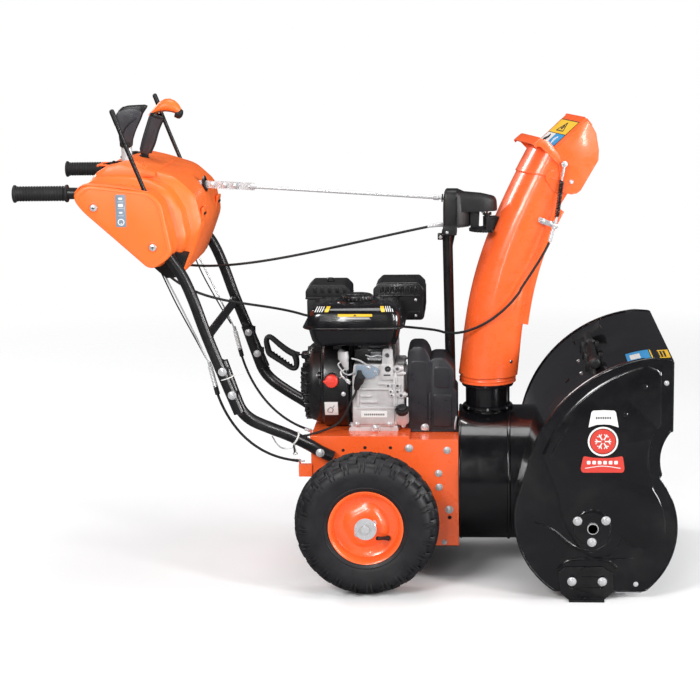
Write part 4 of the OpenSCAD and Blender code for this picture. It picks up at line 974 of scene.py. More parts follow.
def fuel_tank():
    """Pressed tank with its seam, cap and plain label stripes."""
    p = Piece("fuel_tank_pressed")
    rows = [ring_xy(-116, 56, -132, 14, 26, 548), ring_xy(-124, 64, -140, 22, 28, 551),
            ring_xy(-130, 69, -145, 27, 30, 560), ring_xy(-134, 72, -148, 30, 31, 574),
            ring_xy(-137, 75, -150, 33, 32, 587)]
    rows += [ring_xy(-147, 82, -153.5, 38, 36, 588.5), ring_xy(-149.4, 83.4, -155.4, 39.4, 38, 589.6),
             ring_xy(-149.4, 83.4, -155.4, 39.4, 38, 592.6), ring_xy(-147, 82, -153.5, 38, 36, 593.8)]
    rows += [ring_xy(-142, 77, -150, 34, 33, 595.5), ring_xy(-141, 76.5, -149.6, 33.6, 32, 607),
             ring_xy(-138.5, 75, -148, 32, 31, 620), ring_xy(-134, 72, -144.5, 29, 30, 629),
             ring_xy(-126, 66, -138, 23, 29, 635.4), ring_xy(-114, 56, -127, 14, 26, 639.2),
             ring_xy(-98, 42, -112, 2, 22, 641), ring_xy(-70, 14, -88, -14, 16, 641.6)]
    p.loft(rows, BLACK_GLOSS)
    p.tube(ring_xy(-149.6, 83.6, -155.6, 39.6, 38, 591.1), 1.3, BLACK_GLOSS, 8, closed=True)
    # pressed rings round the filler
    p.lathe([(36.5, 0), (52, 0.2), (50.5, 3.2), (47, 4.6), (44, 4.4), (41, 2.2), (38.5, 1.2)],
            (-28, -52, 640.4), (0, 0, 1), BLACK_GLOSS, 48)
    for s in (-1, 1):
        p.prism(fillet([(-28 + s * 56, -98), (-28 + s * 62, -98), (-28 + s * 62, -10),
                        (-28 + s * 56, -10)], 3, 3), 639.4, 642.2, BLACK_GLOSS, 1.0, 2, plane="xy")
    shoulder = [(-150.0, 598), (-148.2, 620.5), (-144.7, 629.4), (-138.2, 635.8), (-127.2, 639.6),
                (-112.4, 641.3)]

    def stripe(x, width, slope, mat, first=2, last=4):
        """A stripe across the tank's top and down its shoulder."""
        for (y0, z0), (y1, z1) in zip(shoulder[first:last], shoulder[first + 1:last + 1]):
            a, b = (z0 - 629) * slope, (z1 - 629) * slope
            p.patch([(x + a, y0, z0), (x + width + a, y0, z0), (x + width + b, y1, z1), (x + b, y1, z1)],
                    mat, 0.15, 0.3)

    for k in range(4):
        stripe(-121 + k * 5.2, 2.2, 0.5, WHITE)
        stripe(45 + k * 4.6, 2.0, -0.4, WHITE, last=4 if k < 3 else 3)
    stripe(-98, 8.6, 0.45, YELLOW)
    stripe(33, 8.6, -0.35, YELLOW)
    # plain information label on the near face: a yellow band over rows of small bars
    face = lambda x, z: (x, -148.6 + (z - 622) * -0.085, z)
    for x0, x1, z0, z1, mat in ((-67, 12, 619.5, 625.5, YELLOW), (-60, 6, 615.3, 617.1, WHITE),
                                (-63, 9, 611.9, 613.7, WHITE), (-57, 3, 608.5, 610.3, WHITE),
                                (-46, -8, 605.1, 606.9, WHITE)):
        p.patch([face(x0, z0), face(x1, z0), face(x1, z1), face(x0, z1)], mat, 0.5, 0.5)
    p.patch([face(-31, 620.6), face(-24, 620.6), face(-27.5, 624.8)], INK, 1.0, 0.3)
    # straps and feet under the tank
    for x in (-74, -10, 38):
        p.box((x - 9, -96, 533), (x + 9, -82, 549), BLACK_SATIN, 1.5)
    p.make("frame", "black_paint", ["fuel_tank"])

    c = Piece("fuel_cap_turned")
    c.lathe([(0, -15), (25, -15), (25.6, -14), (25.6, 0), (33, 0.2), (35.2, 1.2), (36, 3), (36, 8.6),
             (35, 11.2), (32.5, 12.6), (24, 13.0), (22, 11.6), (0, 11.2)], (-28, -52, 643), (0, 0, 1),
            BLACK_SATIN, 64)
    for k in range(24):
        a = TAU * k / 24
        at = Vector((-28 + 35.6 * math.cos(a), -52 + 35.6 * math.sin(a), 648.6))
        c.rod(at - Vector((0, 0, 4.4)), at + Vector((0, 0, 4.6)), 1.7, BLACK_SATIN, 10)
    c.prism(fillet([(-54, -57), (-2, -57), (-2, -47), (-54, -47)], 4, 3), 653.4, 656.8, BLACK_SATIN, 1.2,
            2, plane="xy")
    c.make("fuel_cap", "black_paint", ["fuel_cap"])


fuel_tank()


def chamfered(x0, x1, z0, z1, top, low=3):
    """Box outline with cut corners."""
    return [(x0 + low, z0), (x1 - low, z0), (x1, z0 + low), (x1, z1 - top), (x1 - top, z1),
            (x0 + top, z1), (x0, z1 - top), (x0, z0 + low)]


def intake_and_exhaust():
    """Air filter box and exhaust cover behind the tank."""
    p = Piece("air_filter_housing")
    p.prism(fillet(chamfered(-157, -55, 566, 627, 4, 10), 4, 3), 60, 166, BLACK_PLASTIC, 2.5, 3)
    p.prism(fillet([(-160, 627), (-52, 627), (-52, 646), (-66, 660), (-146, 660), (-160, 646)], 4, 3), 58,
            170, BLACK_PLASTIC, 3, 3)
    p.prism(fillet([(-160.6, 625), (-51.4, 625), (-51.4, 630), (-160.6, 630)], 1.5, 2), 57.4, 170.4,
            BLACK_PLASTIC, 1, 2)
    for i in range(5):
        x = -142 + i * 18
        p.prism(fillet([(x, 640), (x + 9, 640), (x + 9, 655), (x, 655)], 2, 2), 56.9, 60, BLACK_PLASTIC,
                0.8)
    p.lathe([(0, 0), (7, 0), (9, 2), (9, 7), (7.5, 9), (0, 9.4)], (-104, 114, 659.6), (0, 0, 1),
            BLACK_PLASTIC, 24)
    p.box((-114, 111.5, 661), (-94, 116.5, 667.6), BLACK_PLASTIC, 1.5)
    for x, y in ((-150, 70), (-62, 70), (-150, 158), (-62, 158)):
        p.lathe([(0, 0), (4.5, 0), (4.5, 3), (0, 3)], (x, y, 563), (0, 0, 1), STEEL, 16)
    # elbow down to the carburettor, carburettor body and bowl
    p.tube(smooth_path([(-70, 120, 572), (-44, 122, 560), (-26, 118, 540), (-20, 108, 516)], 5), 17,
           BLACK_PLASTIC, 28)
    p.box((-42, 90, 486), (2, 122, 518), CAST, 4, 3)
    p.lathe([(0, 0), (12, 0), (15, 4), (15, 18), (17, 20), (17, 23), (0, 23)], (-20, 106, 462), (0, 0, 1),
            CAST, 32)
    p.make("frame", "black_plastic", ["air_filter"])

    q = Piece("muffler_box")
    outer = fillet(chamfered(6, 124, 572, 664, 14, 6), 4, 3)
    q.prism(outer, 66, 190, BLACK_SATIN, 3, 3)
    q.prism(fillet(chamfered(2.4, 121, 574, 662, 13, 6), 4, 3), 62, 70, BLACK_SATIN, 1.5, 2)
    # heat guard with a row of slots, filled with painted shade, between folded ribs
    for i in range(8):
        x = 18 + i * 12
        q.prism(fillet([(x, 640), (x + 4.5, 640), (x + 4.5, 656), (x, 656)], 2, 3), 58.2, 63, BLACK_SATIN,
                1.0)
        q.prism(fillet([(x + 5.5, 641), (x + 10.5, 641), (x + 10.5, 655), (x + 5.5, 655)], 2, 3), 61.5,
                62.6, PAINTED_SHADE, 0.2)
    q.prism(fillet([(14, 630), (114, 630), (114, 634), (14, 634)], 1.8, 2), 59.5, 63, BLACK_SATIN, 1.0)
    q.prism(fillet([(14, 590), (114, 590), (114, 594), (14, 594)], 1.8, 2), 60.5, 63, BLACK_SATIN, 1.0)
    for x, z in ((24, 584), (104, 584), (24, 622), (104, 622)):
        q.screw((x, 61.4, z), (0, -1, 0), 3.4)
    # ribs on the outer end with painted-shade grooves between them, and painted-shade slots in the top
    for k in range(6):
        y = 82 + k * 18
        q.prism(fillet([(y, 592), (y + 8, 592), (y + 8, 642), (y, 642)], 3.5, 3), 123.4, 125.2, PAINTED_SHADE, 0.2,
                1, plane="yz")
        q.prism(fillet([(y + 9.5, 592), (y + 15, 592), (y + 15, 642), (y + 9.5, 642)], 2.6, 3), 122,
                125.6, BLACK_SATIN, 1.0, 2, plane="yz")
        q.prism(fillet([(28, y + 2), (104, y + 2), (104, y + 6), (28, y + 6)], 1.9, 3), 663.2, 664.8,
                PAINTED_SHADE, 0.2, 1, plane="xy")
    q.tube(smooth_path([(60, 150, 576), (56, 158, 552), (44, 166, 530), (30, 172, 512)], 5), 13,
           DARK_STEEL, 24)
    q.lathe([(13, 0), (20, 0), (20, 4), (13, 4)], (100, 190.4, 600), (0, -1, 0), DARK_STEEL, 32)
    q.make("frame", "black_paint", ["muffler"])


intake_and_exhaust()


def crankcase():
    """Cast engine block with ribs, bosses, sleeves, plugs and wires."""
    p = Piece("engine_crankcase")
    # foot flange with its bolts
    p.prism(fillet([(-50, 331), (66, 331), (66, 345), (62, 352), (-40, 352), (-50, 343)], 2, 2), -98, 92,
            CAST, 2, 3)
    for x in (-42, 58):
        for y in (-88, 80):
            p.bolt((x, y, 351), (0, 0, 1), 6.4)
    # case: lower sump, middle, shoulder
    p.prism(fillet([(-40, 350), (60, 350), (62, 380), (62, 460), (56, 498), (-36, 498), (-40, 460)], 6,
                   4), -101, 56, CAST, 3.5, 4)
    p.prism(fillet([(-37, 356), (57, 356), (59, 384), (59, 396), (-38, 396), (-38, 384)], 4, 3), -104.5,
            -98, CAST, 2.0, 3)
    for z, x0, x1, h in ((440, -24, 54, 2.4), (423, -22, 5, 2.0), (409, -21, 18, 2.0),
                         (394, -30, 60, 2.4), (452, 20, 60, 1.8)):
        p.prism(fillet([(x0, z - h), (x1, z - h), (x1, z + h), (x0, z + h)], h * 0.9, 3), -105.6, -98,
                CAST, 1.2, 3)
    for x, w in ((-27, 2.4), (58, 2.6)):
        p.prism(fillet([(x - w, 398), (x + w, 398), (x + w, 470), (x - w, 470)], 2, 3), -104.8, -98, CAST,
                1.4, 3)
    # name plate left blank
    p.prism(fillet([(-20, 372.5), (41, 372.5), (41, 387.5), (-20, 387.5)], 1.6, 3), -106.2, -104, WHITE,
            0.2, 1)
    for k in range(11):
        x = -12 + k * 4.4
        p.prism([(x, 377.5), (x + 2.4, 377.5), (x + 2.4, 382), (x, 382)], -106.5, -106.1, INK, 0)
    # drain bolt and pair of small bosses over the flange
    p.bolt((14, -101, 345), (0, -1, 0), 7)
    for x in (-30, 46):
        p.lathe([(0, 0), (6.5, 0), (6, 5), (4, 6.4), (0, 6.6)], (x, -100, 356), (0, -1, 0), CAST, 24)
        p.bolt((x, -106, 356), (0, -1, 0), 3.6, washer=False)
    # side cover over the crank, with its screws
    cover = fillet([(-96, 356), (50, 356), (56, 372), (56, 470), (44, 488), (-90, 488), (-98, 470),
                    (-98, 372)], 12, 5)
    p.prism([(y, z) for y, z in cover], 60, 80, CAST, 4, 4, plane="yz")
    p.prism([(y, z) for y, z in fillet([(-101, 352), (54, 352), (59, 370), (59, 474), (46, 493),
                                        (-92, 493), (-102, 474), (-102, 370)], 12, 5)], 59, 65, CAST, 1.6,
            3, plane="yz")
    for y, z in ((-96, 366), (-98, 424), (-96, 476), (-40, 489), (20, 489), (54, 462), (54, 400),
                 (30, 357), (-40, 356)):
        p.rod((64, y, z), (81.5, y, z), 6.4, CAST, 24, 1.5)
        p.bolt((81.5, y, z), (1, 0, 0), 4.2, washer=False)
    # bosses seen on the near face at the front edge
    for x, z, r in ((44, 488, 8.5), (66, 488, 8.5), (44, 448, 6.5), (66, 448, 7), (50, 434, 6),
                    (66, 434, 6.4), (52, 425, 5.4), (74, 425, 7.6)):
        p.rod((x, -106.5, z), (x, -92, z), r, CAST, 28, 1.6)
        p.rod((x, -107.6, z), (x, -106, z), r * 0.42, DARK_STEEL, 16, 0.3)
    p.rod((60, -96, 425), (86, -96, 425), 7, CAST, 24, 2)
    p.rod((84, -96, 425), (89, -96, 425), 3.4, STEEL, 16)
    p.rod((30, -98, 488), (80, -98, 488), 7, CAST, 24, 2)
    # square tower and the plate in front of the shelf
    p.prism(fillet([(30, 496), (56, 496), (54, 531), (51, 535), (35, 535), (32, 531)], 3, 3), -103, -72,
            CAST, 2.5, 3)
    p.lathe([(0, 0), (5, 0), (5, 1.6), (0, 1.6)], (43, -103.4, 520), (0, -1, 0), DARK_STEEL, 24)
    p.prism(fillet([(28, 462), (56, 462), (56, 500), (28, 500)], 3, 3), -106.5, -98, CAST, 2, 3)
    # slot in that plate, filled with painted shade
    p.prism(fillet([(34, 472), (50, 472), (50, 475), (34, 475)], 1, 2), -107, -106.2, PAINTED_SHADE, 0.2, 1)
    # blue-grey governor plate with its screw, and the bright funnel behind it
    p.prism(fillet([(-31, 471), (-31, 498), (4, 498), (23, 489), (23, 478), (8, 466), (-6, 466)], 3, 3),
            -107.4, -104.6, SLATE, 0.6, 2)
    p.screw((0, -107.4, 491), (0, -1, 0), 3.8)
    p.screw((15, -107.4, 482), (0, -1, 0), 3.0)
    p.tube([(-60, -92, 529), (-61, -92, 527), (-60, -93, 512), (-57, -94, 504), (-54, -94, 490),
            (-53, -94, 484)], [9.5, 12, 13, 9.5, 6.4, 5.4], CAST, 28)
    p.tube(smooth_path([(-52, -95, 486), (-66, -100, 480), (-60, -104, 466), (-50, -104, 462),
                        (-44, -105, 456)], 6), 2.4, NYLON, 10)
    p.tube(smooth_path([(-64, -98, 505), (-72, -100, 498), (-66, -103, 488), (-58, -104, 478),
                        (-46, -105, 474), (-34, -106, 480)], 6), 1.7, STEEL, 10)
    p.tube(smooth_path([(-40, -100, 512), (-22, -104, 508), (-8, -106, 500), (4, -107, 494)], 6), 2.2,
           STEEL, 10)
    # shelf and linkage under the tank
    p.box((-34, -92, 496), (54, 40, 534), BLACK_SATIN, 3, 3)
    p.box((-26, -86, 532), (50, 20, 547), DARK_STEEL, 2, 2)
    p.prism(fillet([(4, 508), (30, 508), (30, 527), (4, 527)], 3, 3), -97, -90, DARK_STEEL, 1.4, 2)
    p.tube(smooth_path([(-8, -98, 520), (6, -99, 516), (20, -99, 519), (31, -99, 517)], 5), 1.6, STEEL,
           10)
    p.coil((-4, -99, 511), (30, -99, 510), 3, 0.7, 12, STEEL, 6)
    # black boot and the cord that leaves it
    p.tube([(-22, -110, 486), (-22, -111, 478), (-20, -112, 470), (-24, -111, 459), (-28, -110, 450),
            (-30, -110, 440)], [4.5, 6, 12, 11, 8, 5.5], RUBBER, 26)
    cord = smooth_path([(-29, -110, 446), (-33, -110, 430), (-44, -110, 410), (-55, -109, 385),
                        (-70, -107, 363), (-88, -110, 351), (-106, -118, 345), (-124, -128, 341),
                        (-146, -138, 337)], 6)
    p.tube(cord, 2.8, RUBBER, 12)
    p.tube([cord[-1], (-152, -140, 335), (-166, -143, 331)], [3.6, 4.6, 4.2], RUBBER, 14)
    # cylinder with fins, head and valve cover, leaning to the far side
    lean = Matrix.Translation((10, 0, pivot("crank_spin").z)) @ Matrix.Rotation(math.radians(25), 4, "X")
    p.place = lean
    p.prism(fillet([(-36, -36), (36, -36), (36, 36), (-36, 36)], 14, 5), 42, 192, CAST, 1.5, 2)
    for i in range(9):
        y = 70 + i * 8
        half = 46 if i % 2 else 48
        p.prism(fillet([(-half, -42), (half, -42), (half, 42), (-half, 42)], 14, 4), y, y + 3, CAST, 0.8,
                2)
    for i in range(8):
        z = -44 + i * 12
        p.prism(fillet([(-49, 142), (49, 142), (49, 190), (-49, 190)], 8, 3), z, z + 3.4, CAST, 0.8, 2,
                plane="xy")
    p.prism(fillet([(-40, -40), (40, -40), (40, 40), (-40, 40)], 12, 5), 138, 194, CAST, 1.5, 2)
    p.prism(fillet([(-34, -34), (34, -34), (34, 34), (-34, 34)], 10, 5), 192, 206, BLACK_SATIN, 3, 3)
    for x, z in ((-27, -27), (27, -27), (-27, 27), (27, 27)):
        p.bolt((x, 205.4, z), (0, 1, 0), 4)
    p.rod((-20, 176, -38), (-34, 190, -70), 9, RUBBER, 20)
    p.place = Matrix.Identity(4)
    # oil filler neck and small fittings near it
    up = Vector((0, -math.sin(math.radians(35)), math.cos(math.radians(35))))
    neck = Vector((76, -92, 366))
    p.lathe([(10, -6), (15.4, -6), (15.4, 20), (14, 24), (10.4, 24)], neck, up, CAST, 32)
    p.rod((78, -96, 352), (78, -84, 352), 6, STEEL, 20)
    p.rod((71, -104, 368), (71, -92, 368), 4.5, STEEL, 18)
    p.lathe([(13, 0), (38, 0), (39, 1), (39, 7), (36, 9), (13, 9)], (79, 0, pivot("crank_spin").z),
            (1, 0, 0), CAST, 48)
    p.make("frame", "engine_metal", ["engine_block"])

    d = Piece("dipstick_cap")
    d.lathe([(0, 24.6), (13, 24.6), (14.6, 26), (15, 28), (15, 33), (14, 36), (10.4, 37), (10, 41),
             (8.6, 42), (0, 42)], neck, up, BLACK_PLASTIC, 40)
    turn = Matrix.Translation(neck) @ aim(up)
    d.place = turn
    for k in range(12):
        a = TAU * k / 12
        d.rod((14.2 * math.cos(a), 14.2 * math.sin(a), 26), (14.2 * math.cos(a), 14.2 * math.sin(a), 35),
              1.8, BLACK_PLASTIC, 10)
    d.box((-13, -2.6, 37), (13, 2.6, 42), BLACK_PLASTIC, 1.4)
    d.place = Matrix.Identity(4)
    d.make("dipstick", "black_paint", ["dipstick"])


crankcase()


def blower():
    """Fan housing, starter cover, grip and rope outlet."""
    z0 = pivot("crank_spin").z
    p = Piece("blower_housing")
    deck = mm_box("fan_housing")[0].z
    outline = arc(0, z0, 110, 222, -42, 60)
    outline += [(72, deck + 14), (50, deck + 0.6), (-50, deck + 0.6), (-72, deck + 14)]
    p.prism([(y, z) for y, z in outline], -111, -49, BLACK_SATIN, 7, 5, plane="yz", angle=40)
    p.prism([(y, z) for y, z in arc(0, z0, 104, 222, -42, 60)
             + [(66, deck + 16), (46, deck + 3), (-46, deck + 3), (-66, deck + 16)]], -113.4, -105,
            BLACK_SATIN, 2.4, 3, plane="yz", angle=40)
    # shroud to the cylinder
    p.prism(fillet([(70, 400), (150, 400), (150, 528), (96, 528), (70, 510)], 12, 4), -100, -44,
            BLACK_SATIN, 4, 3, plane="yz")
    # mounting ears, screws and cable clip
    for a in (35, 150, 215, 325):
        y, z = 104 * math.cos(math.radians(a)), z0 + 104 * math.sin(math.radians(a))
        p.lathe([(0, 0), (8, 0), (8, 4), (6, 6), (0, 6)], (-56, y, z), (-1, 0, 0), BLACK_SATIN, 24)
    p.bolt((-60, -112, 430), (0, -1, 0), 4)
    # plain white label with a simple outline sign
    y = -107.6
    corner = lambda x, z: (x, -math.sqrt(max(0, 110.4 ** 2 - (z - z0) ** 2)) - 0.2, z)
    rows = 8
    for i in range(rows):
        za, zb = 376 + 34 * i / rows, 376 + 34 * (i + 1) / rows
        p.patch([corner(-105, za), corner(-74, za), corner(-74, zb), corner(-105, zb)], WHITE, 0.05, 0.5)
    sign = [(-98, 384), (-88, 383), (-85, 391), (-91, 397), (-98, 391)]
    for a, b in zip(sign, sign[1:] + sign[:1]):
        p.tube([Vector(corner(*a)) + Vector((0, -0.7, 0)), Vector(corner(*b)) + Vector((0, -0.7, 0))],
               0.7, INK, 8)
    p.tube([Vector(corner(-86, 396)) + Vector((0, -0.7, 0)),
            Vector(corner(-82, 401)) + Vector((0, -0.7, 0))], 0.7, INK, 8)
    # boss that carries the switch
    p.lathe([(0, 0), (17, 0), (17.6, 2), (17.6, 9.4), (15.6, 11), (0, 11)], (-87, -100, 462), (0, -1, 0),
            BLACK_SATIN, 40)
    p.tube(smooth_path([(-70, -104, 466), (-60, -108, 470), (-52, -106, 458), (-44, -105, 452)], 5), 1.8,
           STEEL, 10)
    p.make("frame", "black_paint", ["fan_housing"], sharp=30)

    q = Piece("recoil_starter_cover")
    q.lathe([(95.5, -2), (97, 2), (97, 6), (95, 10), (94, 20), (91, 28), (84, 36), (74, 41), (64, 43.6),
             (58, 44.2), (54, 43), (50, 44.6), (44, 49), (36, 53.4), (24, 55.4), (0, 56)], (-112, 0, z0),
            (-1, 0, 0), BLACK_SATIN, 96)
    turn = Matrix.Translation((-112, 0, z0)) @ aim((-1, 0, 0))
    q.place = turn
    # slots: windows of painted shade between raised ribs
    for k in range(22):
        a = TAU * k / 22
        if k in (0, 1, 21):
            continue
        spin = Matrix.Rotation(a, 4, "Z")
        q.place = turn @ spin
        q.prism(fillet([(64, -4.6), (86, -6.2), (86, 6.2), (64, 4.6)], 3, 3), 36, 41.2, PAINTED_SHADE, 0.3, 1,
                plane="xy")
        q.prism(fillet([(61, -1.4), (90, -1.6), (90, 1.6), (61, 1.4)], 1.2, 2), 30, 43.8, BLACK_SATIN,
                1.0, 2, plane="xy")
        q.prism(fillet([(28, -1.2), (46, -1.6), (46, 1.6), (28, 1.2)], 1.1, 2), 46, 55, BLACK_SATIN, 0.8,
                2, plane="xy")
    q.place = turn
    for a in (50, 170, 290):
        y, z = 99 * math.cos(math.radians(a)), 99 * math.sin(math.radians(a))
        q.lathe([(0, 0), (8.5, 0), (8.5, 5), (6.5, 7), (0, 7)], (y, z, 2), (0, 0, 1), BLACK_SATIN, 24)
        q.bolt((y, z, 8.8), (0, 0, 1), 4)
    q.place = Matrix.Identity(4)
    # rope outlet
    q.tube([(-120, 0, 497), (-150, 0, 500), (-164, 0, 501.6), (-167, 0, 502)], [14, 12, 9, 6],
           BLACK_SATIN, 28)
    q.make("frame", "black_paint", ["recoil_cover"])

    g = Piece("recoil_pull_grip")
    # closed loop built as an oval bar along its middle line
    path = [(-184, 0, 503), (-200, 0, 512), (-219, 0, 527), (-238, 0, 543.5), (-247, 0, 544),
            (-250, 0, 534), (-246.5, 0, 515), (-243, 0, 506), (-231, 0, 497), (-212, 0, 484),
            (-194, 0, 471.5), (-184, 0, 469), (-179.5, 0, 475), (-179.6, 0, 490)]
    p2 = smooth_path(path + [path[0]], 5)[:-1]
    rows = []
    for i, c in enumerate(p2):
        t = (p2[(i + 1) % len(p2)] - p2[i - 1]).normalized()
        n = Vector((-t.z, 0, t.x))
        thick = 6.0 + 1.6 * math.cos(math.pi * (i / len(p2) * 2 - 1)) ** 2
        rows.append([c + n * (thick * math.cos(TAU * k / 20))
                     + Vector((0, 11.8 * math.sin(TAU * k / 20), 0)) for k in range(20)])
    g.loft(rows, RUBBER, closed=True)
    for k in range(7):
        t = k / 6
        c = Vector((-196, 0, 471)).lerp(Vector((-238, 0, 500.5)), t)
        d = Vector((-42, 0, 29.5)).normalized()
        n = Vector((d.z, 0, -d.x))
        g.tube([c + n * 6.2 + Vector((0, -9, 0)), c + n * 7.8 + Vector((0, -5, 0)), c + n * 8.4,
                c + n * 7.8 + Vector((0, 5, 0)), c + n * 6.2 + Vector((0, 9, 0))], 2.0, RUBBER, 10)
    g.rod((-172, 0, 501.6), (-186, 0, 505), 6.5, RUBBER, 20)
    g.make("recoil_grip", "grip_rubber", ["recoil_grip"])

    s = Piece("engine_switch_knob")
    s.lathe([(0, 0), (13.6, 0), (15, 1.2), (15, 8), (13.8, 12.4), (11, 14.2), (0, 14.6)],
            (-87, -111.5, 462), (0, -1, 0), RED, 48)
    for k in range(18):
        a = TAU * k / 18
        s.rod((-87 + 14.6 * math.cos(a), -113, 462 + 14.6 * math.sin(a)),
              (-87 + 14.2 * math.cos(a), -123, 462 + 14.2 * math.sin(a)), 1.3, RED, 8)
    s.prism(fillet([(-87, 455), (-103, 459), (-107, 462), (-103, 465), (-87, 469)], 2, 3), -125.8, -117,
            RED, 1.4, 2)
    s.prism(fillet([(-96, 458.6), (-78, 458.6), (-78, 465.4), (-96, 465.4)], 3, 3), -127.6, -124, RED,
            1.0, 2)
    s.make("engine_switch", "red_plastic", ["engine_switch"])


blower()


# ---------------------------------------------------------------- belt cover, post, chute gear cover

def belt_cover():
    """Two-lobed plastic cover over the belts."""
    p = Piece("belt_cover_moulding")
    lo = mm_box("belt_cover")[0]
    y0, y1 = lo.y, 44.0
    base = lo.z
    # taller rounded part over the engine pulley
    rows = []
    body = [(88.6, base), (88.6, 519), (92, 528), (100, 533), (122, 533), (131, 528), (139, 515),
            (143, 500), (146, 470), (146, base)]
    for y, inset in ((y0 + 0.4, 6), (y0 + 1.4, 3), (y0 + 4, 0.8), (y0 + 8, 0), (y1 - 8, 0), (y1 - 4, 0.8),
                     (y1 - 1.4, 3), (y1 - 0.4, 6)):
        mid = Vector((117, 430))
        ring = []
        for x, z in fillet(body, 5, 3):
            q = Vector((x, z))
            if z > base + 2:
                d = q - mid
                q = mid + d * (1 - inset / d.length)
            ring.append((q.x, y, max(q.y, base)))
        rows.append(ring)
    p.loft(rows, COVER_GREY)
    step = [(140, base), (140, 502), (150, 507), (170, 507), (177, 505), (188, 492), (197.6, 478),
            (197.6, 434), (204.6, 426), (204.6, base)]
    rows = []
    for y, inset in ((y0 + 1.0, 5), (y0 + 2.0, 2.4), (y0 + 4.4, 0.6), (y0 + 8, 0), (y1 - 8, 0),
                     (y1 - 4, 0.6), (y1 - 2, 2.4), (y1 - 1, 5)):
        mid = Vector((172, 420))
        ring = []
        for x, z in fillet(step, 4, 3):
            q = Vector((x, z))
            if z > base + 2:
                d = q - mid
                q = mid + d * (1 - inset / d.length)
            ring.append((q.x, y, max(q.y, base)))
        rows.append(ring)
    p.loft(rows, COVER_GREY)
    # raised panels on the near and far faces, bolt boss, foot lip
    for s, y in ((-1, y0), (1, y1)):
        for a, b, c, d, lift in ((147, 191, 342, 421, 2.6), (96, 134, 352, 500, 1.4),
                                 (151, 186, 436, 486, 1.6)):
            rows = []
            for grow, up in ((0, -1.5), (0, lift * 0.4), (-1.2, lift * 0.85), (-3.4, lift)):
                corners = [(a - grow, c - grow), (b + grow, c - grow), (b + grow, d + grow),
                           (a - grow, d + grow)]
                rows.append([(x, y + s * (up - 0.2), z) for x, z in fillet(corners, 8, 4)])
            p.loft(rows, COVER_GREY)
        p.prism(fillet([(137, 332), (142, 332), (142, 424), (137, 424)], 2, 3), y + s * 1.8 - 2,
                y + s * 0.2 + 2, COVER_GREY, 1, 2)
        p.bolt((128, y + s * 0.4, 340), (0, s, 0), 7.4)
    p.box((87.5, y0 - 3, base), (205.5, y1 + 3, base + 4), COVER_GREY, 1.4, 2)
    p.tube(smooth_path([(198, y0 + 2, 336), (199, y0 + 1, 352), (202, y0 + 3, 368)], 5), 2.2, STEEL, 10)
    p.make("frame", "black_plastic", ["belt_cover"], sharp=30)


belt_cover()


